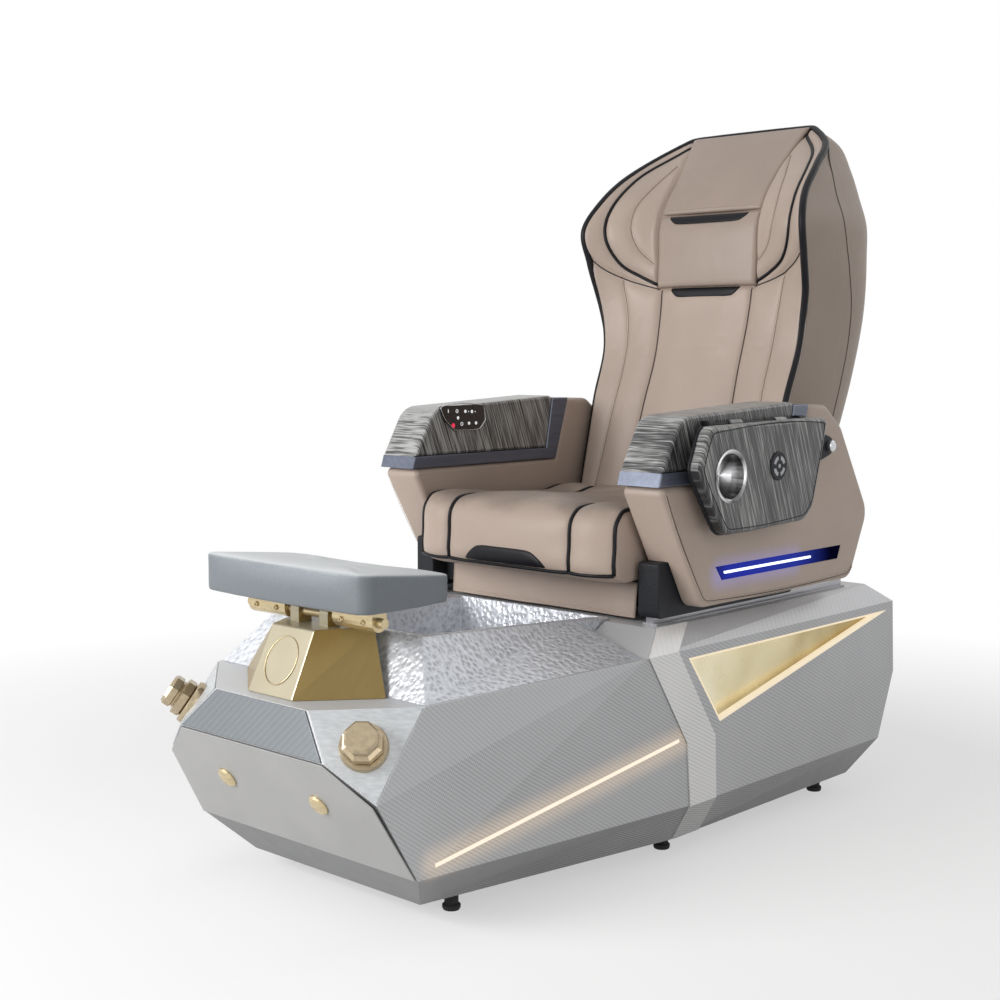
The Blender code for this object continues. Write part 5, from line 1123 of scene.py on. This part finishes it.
def build_apron():
    """Leather skirt under the seat, hung from the frame with a hem."""
    xs = np.linspace(-APRON_HALF, APRON_HALF, 69)
    front, rear = [], []
    for z in np.concatenate([np.linspace(APRON_TOP, 0.481, 14), [0.4785, 0.4768]]):
        t = (APRON_TOP - z) / APRON_DROP
        wave = 0.0016 * t * np.sin(xs * 21.0) + 0.0010 * t * np.sin(xs * 47.0 + 0.6)
        y = APRON_Y - APRON_SWING * t + wave
        front.append(np.stack([xs, y - APRON_HALF_THICK, np.full(len(xs), z)], 1))
        rear.append(np.stack([xs, y + APRON_HALF_THICK, np.full(len(xs), z)], 1))
    apron = piece("seat_skirt", *shell_between(front, rear), LEATHER, "chair")
    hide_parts("seat_apron")
    along = np.linspace(-APRON_HALF + 0.003, APRON_HALF - 0.003, 80)
    hem = [(x, float(np.interp(x, xs, front[APRON_HEM_ROW][:, 1])), APRON_HEM_Z) for x in along]
    piece("skirt_stitching", *merged(stitches(hem, FORWARD)), THREAD, "chair")


# Arms
ARM_INNER, ARM_OUTER, ARM_EDGE = 0.283, 0.381, 0.013
ARM_POINTS = ((-0.139, 0.7497), (0.002, 0.5035), (0.565, 0.5035), (0.636, 0.648), (0.515, 0.842),
              (0.450, 0.890), (0.3746, 0.890), (0.3316, 0.7497))
ARM_RADII = (0.014, 0.036, 0.034, 0.055, 0.055, 0.030, 0.0, 0.0)
SLOT = ((0.068, 0.553), (0.5038, 0.553), (0.517, 0.582), (0.046, 0.582))
SLOT_DEPTH = 0.0083
NOTCH_TOP, NOTCH_WALL = 0.5968, 0.042
PIN_Y, PIN_Z, PIN_BORE, PIN_END = 0.470, 0.632, 0.0106, 0.3285
ARM_SEAM_RADII = (0.012, 0.045, 0.045, 0.0)
ARM_SEAM_RADIUS, ARM_STITCH_GAP = 0.0007, 0.0042
LIGHT_BAR = ((0.076, 0.5655), (0.392, 0.5655), (0.394, 0.5672), (0.394, 0.5690), (0.392, 0.5706),
             (0.074, 0.5706))


def ordered(sign, a, b):
    """Two places across one arm, the lower first."""
    return sorted((sign * a, sign * b))


def build_arm(label, sign):
    """Padded arm body with its seat notch, light slot and pivot bore, and the line of light."""
    group = "arm_" + label
    outline = rounded(ARM_POINTS, ARM_RADII, 8)
    solid = eased(outline, *ordered(sign, ARM_INNER, ARM_OUTER), ARM_EDGE)
    body = piece("arm_cover_" + label, *solid, ARM_LEATHER, group, bend=45)
    notch = ordered(sign, ARM_INNER - 0.05, ARM_OUTER - NOTCH_WALL)
    cut(body, *box((notch[0], -0.3, 0.40), (notch[1], 0.9, NOTCH_TOP)))
    cut(body, *prism(SLOT, *ordered(sign, ARM_OUTER - SLOT_DEPTH, ARM_OUTER + 0.02)))
    pin = ordered(sign, ARM_INNER - 0.02, PIN_END)
    bore = ((PIN_BORE, 0.0), (PIN_BORE, pin[1] - pin[0]))
    cut(body, *turned(bore, (pin[0], PIN_Y, PIN_Z), SIDEWAYS))
    for polygon in body.data.polygons:
        polygon.use_smooth = True
    body.data.set_sharp_from_angle(angle=math.radians(40))
    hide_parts("arm_body_" + label)
    build_arm_sewing(label, sign, group)
    bar = prism(LIGHT_BAR, *ordered(sign, ARM_OUTER - 0.0002, ARM_OUTER + 0.0016))
    piece("arm_line_" + label, *bar, WHITE_LINE, group, bend=30)


def build_arm_sewing(label, sign, group):
    """A seam with two rows of stitches inside the lower outline, on both faces of an arm."""
    ring = inset(rounded(ARM_POINTS[:4], ARM_SEAM_RADII, 10), ARM_EDGE)
    keep = [p for p in ring if p[1] < 0.745 and p[0] < 0.600][1:]
    above_bracket = [p for p in keep if p[1] > 0.60]
    seams, parts = [], []
    for face, points, outward in ((ARM_OUTER, keep, sign), (ARM_INNER, above_bracket, -sign)):
        line = even([(sign * face, y, z) for y, z in points], THREAD_STEP)
        seams.append(tube(line, ARM_SEAM_RADIUS, 6))
        for offset in (-ARM_STITCH_GAP, ARM_STITCH_GAP):
            parts += stitches(beside(line, (sign, 0, 0), offset), (outward, 0, 0), 0.0003)
    piece("arm_seams_" + label, *merged(seams), DARK_THREAD, group)
    piece("arm_stitching_" + label, *merged(parts), THREAD, group)


# Footrest pad
PAD_BOTTOM, PAD_FRONT_Y, PAD_DEPTH = 0.563, -0.738, 0.222
PAD_FRONT_HALF, PAD_REAR_HALF, PAD_CORNER = 0.226, 0.214, 0.028
PAD_FRONT_THICK, PAD_REAR_THICK, PAD_CROWN = 0.071, 0.048, 0.0034
PAD_ROWS = ((0.105, 0.0), (0.060, 0.0), (0.008, 0.0), (0.0030, 0.006), (0.0008, 0.030), (0.0, 0.08),
            (0.0, 0.35), (0.0003, 0.65), (0.0, 0.90), (0.0004, 0.955), (0.0016, 0.985), (0.0040, 1.0),
            (0.0100, 1.0), (0.022, 1.0), (0.040, 1.0), (0.060, 1.0))
PAD_TOP_SHARES = (0.8, 0.6, 0.4, 0.2)


def pad_thick(y):
    return PAD_FRONT_THICK + (y - PAD_FRONT_Y) / PAD_DEPTH * (PAD_REAR_THICK - PAD_FRONT_THICK)


def build_footrest():
    """Wedge-shaped pad. A row gives its margin inside the plan and its share of the thickness."""
    rear_y = PAD_FRONT_Y + PAD_DEPTH
    corners = [(-PAD_FRONT_HALF, PAD_FRONT_Y), (PAD_FRONT_HALF, PAD_FRONT_Y), (PAD_REAR_HALF, rear_y),
               (-PAD_REAR_HALF, rear_y)]
    plan = np.array(rounded(corners, (PAD_CORNER,) * 4, 9))
    dense = even(np.vstack([plan, plan[:1]]), 0.008)[:-1]
    mid = np.array([0.0, PAD_FRONT_Y + PAD_DEPTH / 2])
    size = np.array([PAD_FRONT_HALF, PAD_DEPTH / 2])
    rows = [(*row, 1.0) for row in PAD_ROWS] + [(*PAD_ROWS[-1], shrink) for shrink in PAD_TOP_SHARES]
    rings = []
    for margin, share, shrink in rows:
        flat = mid + (dense - mid) * (size - margin) / size * shrink
        u, v = ((flat - mid) / size).T
        crown = PAD_CROWN * np.clip(1 - u**4, 0, 1) * np.clip(1 - v**4, 0, 1)
        z = PAD_BOTTOM + share * pad_thick(flat[:, 1]) + (crown if share == 1.0 else 0.0)
        rings.append(np.column_stack([flat, z]).tolist())
    pad = piece("footrest_cushion", *tube_rings(rings), VINYL, "footrest")

    def pinned(co):
        at_top = np.abs(co[:, 2] - PAD_BOTTOM - pad_thick(co[:, 1])) < 0.006
        return (co[:, 2] < PAD_BOTTOM + 0.012) | at_top & (np.abs(co[:, 0]) > 0.2)
    puff(pad, pinned, 2.0, 0.003)
    subdivide(pad)
    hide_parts("footrest_pad")


# Trim of the base and the footrest
FLANGE_SCREWS = ((0.083, 0.154), -0.7105, 0.5593, 0.0032, 0.002)
PIVOT_SCREWS = ((0.090, 0.147), -0.6725, 0.536, 0.005, 0.003)
PEDESTAL_TOP, PEDESTAL_LOW = np.array((0, -0.706, 0.516)), np.array((0, -0.763, 0.402))
RING_RADIUS, RING_STRETCH, RING_WIRE = 0.040, 1.12, 0.0011
COLLAR = ((0.0425, -0.003), (0.0425, 0.0075), (0.0405, 0.0121), (0.0004, 0.0121))


def screw(centre, axis, radius, height):
    """A round screw head with a socket."""
    return turned(((radius, -0.001), (radius, height * 0.6), (radius * 0.85, height), (radius * 0.55, height),
                   (radius * 0.50, height * 0.4), (0.0004, height * 0.4)), centre, axis, 16)


def build_base_trim():
    parts = []
    for sign in SIGNS:
        for xs, y, z, radius, height in (FLANGE_SCREWS, PIVOT_SCREWS):
            parts += [screw((sign * x, y, z), FORWARD, radius, height) for x in xs]
    piece("bracket_screws", *merged(parts), GOLD, "footrest", bend=35)
    slope = (PEDESTAL_TOP - PEDESTAL_LOW) / np.linalg.norm(PEDESTAL_TOP - PEDESTAL_LOW)
    out = np.array((0, -slope[2], slope[1]))
    middle = (PEDESTAL_TOP + PEDESTAL_LOW) / 2 + out * 0.0002
    turn = np.linspace(0, 2 * math.pi, 65)[:-1]
    flat = np.cos(turn)[:, None] * np.array(SIDEWAYS) + np.sin(turn)[:, None] * slope * RING_STRETCH
    piece("pedestal_ring", *tube(middle + RING_RADIUS * flat, RING_WIRE, 6, True), GOLD, "base")


def build_collars():
    """Gold washer over the boss of each corner plate, under its water knob."""
    for joint in frame["record"]["behaviour"]["joints"]:
        if joint["name"].startswith("knob_turn"):
            collar = turned(COLLAR, Vector(joint["pos_m"]) - SHIFT, joint["axis"], 32)
            piece(joint["name"].replace("turn", "collar"), *collar, KNOB_GOLD, "base", bend=35)


# Touch panel of the right arm
PANEL_FACE = -0.2767
PANEL_POINTS = ((-0.064, 0.884), (0.078, 0.884), (0.084, 0.848), (0.064, 0.828), (-0.016, 0.828),
                (-0.046, 0.852))
PANEL_CORNER, PANEL_RIM_INSET, PANEL_RIM = 0.005, 0.0016, 0.0011
SIGN_BED = 0.0001
DISC = ((0.0036, 0.0), (0.0036, 0.0005), (0.0030, 0.0008), (0.0004, 0.0008))
RING = ((0.0042, 0.0), (0.0042, 0.0006), (0.0032, 0.0006), (0.0031, 0.0001))
STOP = ((0.0052, 0.0), (0.0052, 0.0005), (0.0044, 0.0009), (0.0004, 0.0009))
STOP_Y, STOP_Z = -0.0202, 0.8397
PANEL_ROUNDS = ((-0.0084, 0.8712, RING), (0.0178, 0.8700, DISC), (0.0389, 0.8690, DISC),
                (-0.0053, 0.8562, DISC), (0.0066, 0.8425, RING), (0.0296, 0.8433, DISC),
                (0.0521, 0.8431, DISC))
PANEL_BARS = ((-0.0356, 0.8721, 0.0036), (0.0282, 0.8694, 0.0012), (0.0494, 0.8686, 0.0012))
BAR_HALF, BAR_PROUD = 0.0010, 0.0005


def build_panel():
    """Rim and plain symbols of the touch panel."""
    outline = rounded(PANEL_POINTS, (PANEL_CORNER,) * len(PANEL_POINTS), 5)
    rim = even([(PANEL_FACE + 0.0002, y, z) for y, z in inset(outline, PANEL_RIM_INSET)], 0.004, closed=True)
    piece("panel_rim", *tube(rim, PANEL_RIM, 6, True), CHROME, "arm_right")
    bed = PANEL_FACE - SIGN_BED
    white = [turned(form, (bed, y, z), SIDEWAYS, 18) for y, z, form in PANEL_ROUNDS]
    for y, z, tall in PANEL_BARS:
        white.append(box((bed, y - BAR_HALF, z - tall), (PANEL_FACE + BAR_PROUD, y + BAR_HALF, z + tall)))
    piece("panel_symbols", *merged(white), ICON, "arm_right", bend=30)
    piece("panel_stop", *turned(STOP, (bed, STOP_Y, STOP_Z), SIDEWAYS, 20), ICON_RED, "arm_right", bend=30)


# Tray of the left arm
TRAY_POINTS = ((-0.093, 0.780), (-0.004, 0.652), (0.276, 0.660), (0.309, 0.686), (0.360, 0.868),
               (-0.058, 0.862))
TRAY_RADII = (0.030, 0.036, 0.045, 0.060, 0.014, 0.028)
TRAY_FACE, TRAY_INLAY_INSET, TRAY_INLAY = 0.440, 0.011, 0.0012
EDGING_X, EDGING_INSET, EDGING_RADIUS, EDGING_TOP = 0.4125, 0.0012, 0.0042, 0.8585
KEYPAD_FACE, KEYPAD_Y, KEYPAD_Z = 0.4433, 0.172, 0.777
KEY_OUTER, KEY_INNER, KEY_HALF_TURN, KEY_PROUD = 0.0205, 0.0130, 0.52, 0.0005
KEY_BUTTON = ((0.0042, 0.0), (0.0042, 0.0006), (0.0034, 0.0010), (0.0004, 0.0010))
TRAY_BOLT = ((0.0075, 0.0), (0.0075, 0.004), (0.0120, 0.0045), (0.0120, 0.011), (0.0105, 0.0125),
             (0.0004, 0.0125))
TRAY_BOLT_PLACE = (0.3885, 0.446, 0.802)


def build_tray_trim():
    """Inlaid line, black edging that stops short of the hinge, keypad symbols and the bolt."""
    outline = rounded(TRAY_POINTS, TRAY_RADII, 8)
    line = even([(TRAY_FACE - 0.0002, y, z) for y, z in inset(outline, TRAY_INLAY_INSET)], 0.005, closed=True)
    piece("tray_inlay", *tube(line, TRAY_INLAY, 6, True), PIPING, "tray")
    edge = [(EDGING_X, y, min(z, EDGING_TOP)) for y, z in inset(outline, EDGING_INSET)]
    edge = even(edge, 0.005, closed=True)
    piece("tray_edging", *tube(edge, EDGING_RADIUS, 8, True), PIPING, "tray")
    bed = KEYPAD_FACE - SIGN_BED
    parts = []
    for k in range(4):
        turn = math.pi / 4 + k * math.pi / 2
        angles = np.linspace(turn - KEY_HALF_TURN, turn + KEY_HALF_TURN, 8)
        key = [(KEYPAD_Y + r * math.cos(a), KEYPAD_Z + r * math.sin(a))
               for r, run in ((KEY_OUTER, angles), (KEY_INNER, angles[::-1])) for a in run]
        parts.append(prism(key, bed, KEYPAD_FACE + KEY_PROUD))
    parts.append(turned(KEY_BUTTON, (bed, KEYPAD_Y, KEYPAD_Z), SIDEWAYS, 18))
    piece("keypad_symbols", *merged(parts), ICON_DIM, "tray", bend=30)
    piece("tray_bolt", *turned(TRAY_BOLT, TRAY_BOLT_PLACE, SIDEWAYS, 20), CHROME, "arm_left", bend=35)


# Finishes of the CAD pieces that stay
SINGLE_FINISHES = {
    "base_shell": CARBON, "front_access_panel": FRONT, "nose_strip": CARBON_DARK, "foot_basin": HAMMERED,
    "basin_drain": CHROME, "jet_cover": CHROME, "footrest_pedestal": GOLD_PALE, "footrest_shaft": GOLD,
    "recline_shaft": STEEL, "seat_frame": BLACK, "control_panel": GLOSS, "tray_mount": BLACK,
    "tray_panel": VENEER, "tray_keypad": BLACK, "cup_holder": CUP_STEEL}
PAIRED_FINISHES = {
    "belt": BELT, "corner_plate": BRUSHED, "gold_wedge": MIRROR_GOLD, "wedge_light": EDGE_GLOW,
    "front_light": WARM, "panel_cap": GOLD, "water_knob": KNOB_GOLD, "footrest_bracket": GOLD,
    "slide_rail": STEEL, "side_bracket": BLACK, "arm_pivot": STEEL, "arm_band": BLUE_STEEL,
    "arm_cap": VENEER, "arm_light": ARM_SLOT, "foot_front": RUBBER, "foot_middle": RUBBER,
    "foot_rear": RUBBER}
SOFT_EDGED = ("base_shell", "front_access_panel", "nose_strip", "footrest_pedestal", "foot_basin")
EDGE_WIDTH, EDGE_ANGLE, WELD_REACH = 0.0016, 20, 1e-5


def dress():
    pairs = {name + "_" + label: finish for name, finish in PAIRED_FINISHES.items() for label, _ in SIDES}
    for name, finish in {**SINGLE_FINISHES, **pairs}.items():
        obj = NODES[name]
        obj.data.materials.clear()
        obj.data.materials.append(finish)
    for name in SOFT_EDGED:
        weld = NODES[name].modifiers.new("weld", "WELD")
        weld.merge_threshold = WELD_REACH
        bevel = NODES[name].modifiers.new("bevel", "BEVEL")
        bevel.width = EDGE_WIDTH
        bevel.segments = 2
        bevel.limit_method = "ANGLE"
        bevel.angle_limit = math.radians(EDGE_ANGLE)


# Stage
FLOOR_HALF, FLOOR_FADE, FLOOR_WHITE = 14.0, (1.2, 2.6), (0.5, 1.0)
WORLD_STRENGTH = (0.33, 1.0)
AIM = Vector((0, 0, 0.6))
LAMPS = (("key", (-1.2, -3.5, 1.7), 1.8, 112.0), ("fill", (3.4, -1.8, 1.6), 2.5, 25.0),
         ("top", (0.0, 0.0, 3.8), 2.0, 9.0), ("rim", (1.6, 3.0, 2.6), 2.0, 12.0))
CAMERA_PLACE, CAMERA_AZIMUTH, CAMERA_PITCH = Vector((2.13, -2.45, 1.01)), 43.0, 5.6
CAMERA_LENS_MM, CAMERA_SENSOR_MM = 55.8, 36.0


def direct_rays(tree):
    """1 for rays that see the background straight, mirrored or through glass, and 0 for those that light."""
    seen = tree.nodes.new("ShaderNodeLightPath").outputs
    total = seen["Is Camera Ray"]
    for name in ("Is Glossy Ray", "Is Transmission Ray"):
        add = tree.nodes.new("ShaderNodeMath")
        add.operation = "ADD"
        add.use_clamp = True
        tree.links.new(total, add.inputs[0])
        tree.links.new(seen[name], add.inputs[1])
        total = add.outputs[0]
    return total


def build_floor():
    """Pale floor that keeps the shadow near the part and fades to white away from it."""
    mesh = bpy.data.meshes.new("floor")
    h = FLOOR_HALF
    mesh.from_pydata([(-h, -h, 0), (h, -h, 0), (h, h, 0), (-h, h, 0)], [], [(0, 1, 2, 3)])
    floor = bpy.data.objects.new("floor", mesh)
    SCENE.collection.objects.link(floor)
    f = Finish("pale_floor", (0.93, 0.93, 0.93), 0.9)
    far = f.remap(f.vector("LENGTH", {0: f.where}, "Value"), FLOOR_FADE, FLOOR_WHITE)
    share = f.times(far, direct_rays(f.tree))
    white = f.add("ShaderNodeEmission", {"Color": (1, 1, 1, 1), "Strength": 1.0}).outputs[0]
    mixed = f.add("ShaderNodeMixShader", {0: share, 1: f.bsdf.outputs[0], 2: white})
    f.tree.links.new(mixed.outputs[0], f.tree.nodes["Material Output"].inputs["Surface"])
    mesh.materials.append(f.material)


def build_world():
    """White behind the part, and a weaker even light on it."""
    world = bpy.data.worlds.new("studio")
    SCENE.world = world
    world.use_nodes = True
    tree = world.node_tree
    strength = tree.nodes.new("ShaderNodeMapRange")
    strength.inputs["To Min"].default_value, strength.inputs["To Max"].default_value = WORLD_STRENGTH
    background = tree.nodes["Background"]
    tree.links.new(direct_rays(tree), strength.inputs["Value"])
    tree.links.new(strength.outputs[0], background.inputs["Strength"])
    background.inputs["Color"].default_value = (1, 1, 1, 1)


def build_lamps_and_camera():
    for name, place, size, power in LAMPS:
        lamp = bpy.data.lights.new(name, "AREA")
        lamp.size = size
        lamp.energy = power
        light = bpy.data.objects.new(name, lamp)
        light.location = place
        light.rotation_mode = "QUATERNION"
        light.rotation_quaternion = (AIM - Vector(place)).to_track_quat("-Z", "Y")
        SCENE.collection.objects.link(light)
    camera = bpy.data.objects.new("camera", bpy.data.cameras.new("camera"))
    camera.data.lens = CAMERA_LENS_MM
    camera.data.sensor_width = CAMERA_SENSOR_MM
    camera.location = CAMERA_PLACE + SHIFT
    camera.rotation_euler = (math.pi / 2 - math.radians(CAMERA_PITCH), 0.0, math.radians(CAMERA_AZIMUTH))
    SCENE.collection.objects.link(camera)
    SCENE.camera = camera
    SCENE.view_settings.view_transform = "Standard"


dress()
build_back()
build_pillow("neck_cushion", "neck_pillow", PILLOW_LOW, PILLOW_SPLIT - PILLOW_GAP)
build_pillow("head_cushion", "head_pillow", PILLOW_SPLIT + PILLOW_GAP, PILLOW_HIGH)
build_tab("head_tab", "backrest", neck_surface, 0.112, 0.090, 0.020)
build_tab("neck_tab", "backrest", lumbar_surface, 0.098, 0.078, 0.024)
build_shell()
build_seat()
for arm_label, arm_sign in SIDES:
    build_arm(arm_label, arm_sign)
build_footrest()
build_base_trim()
build_collars()
build_panel()
build_tray_trim()
build_floor()
build_world()
build_lamps_and_camera()
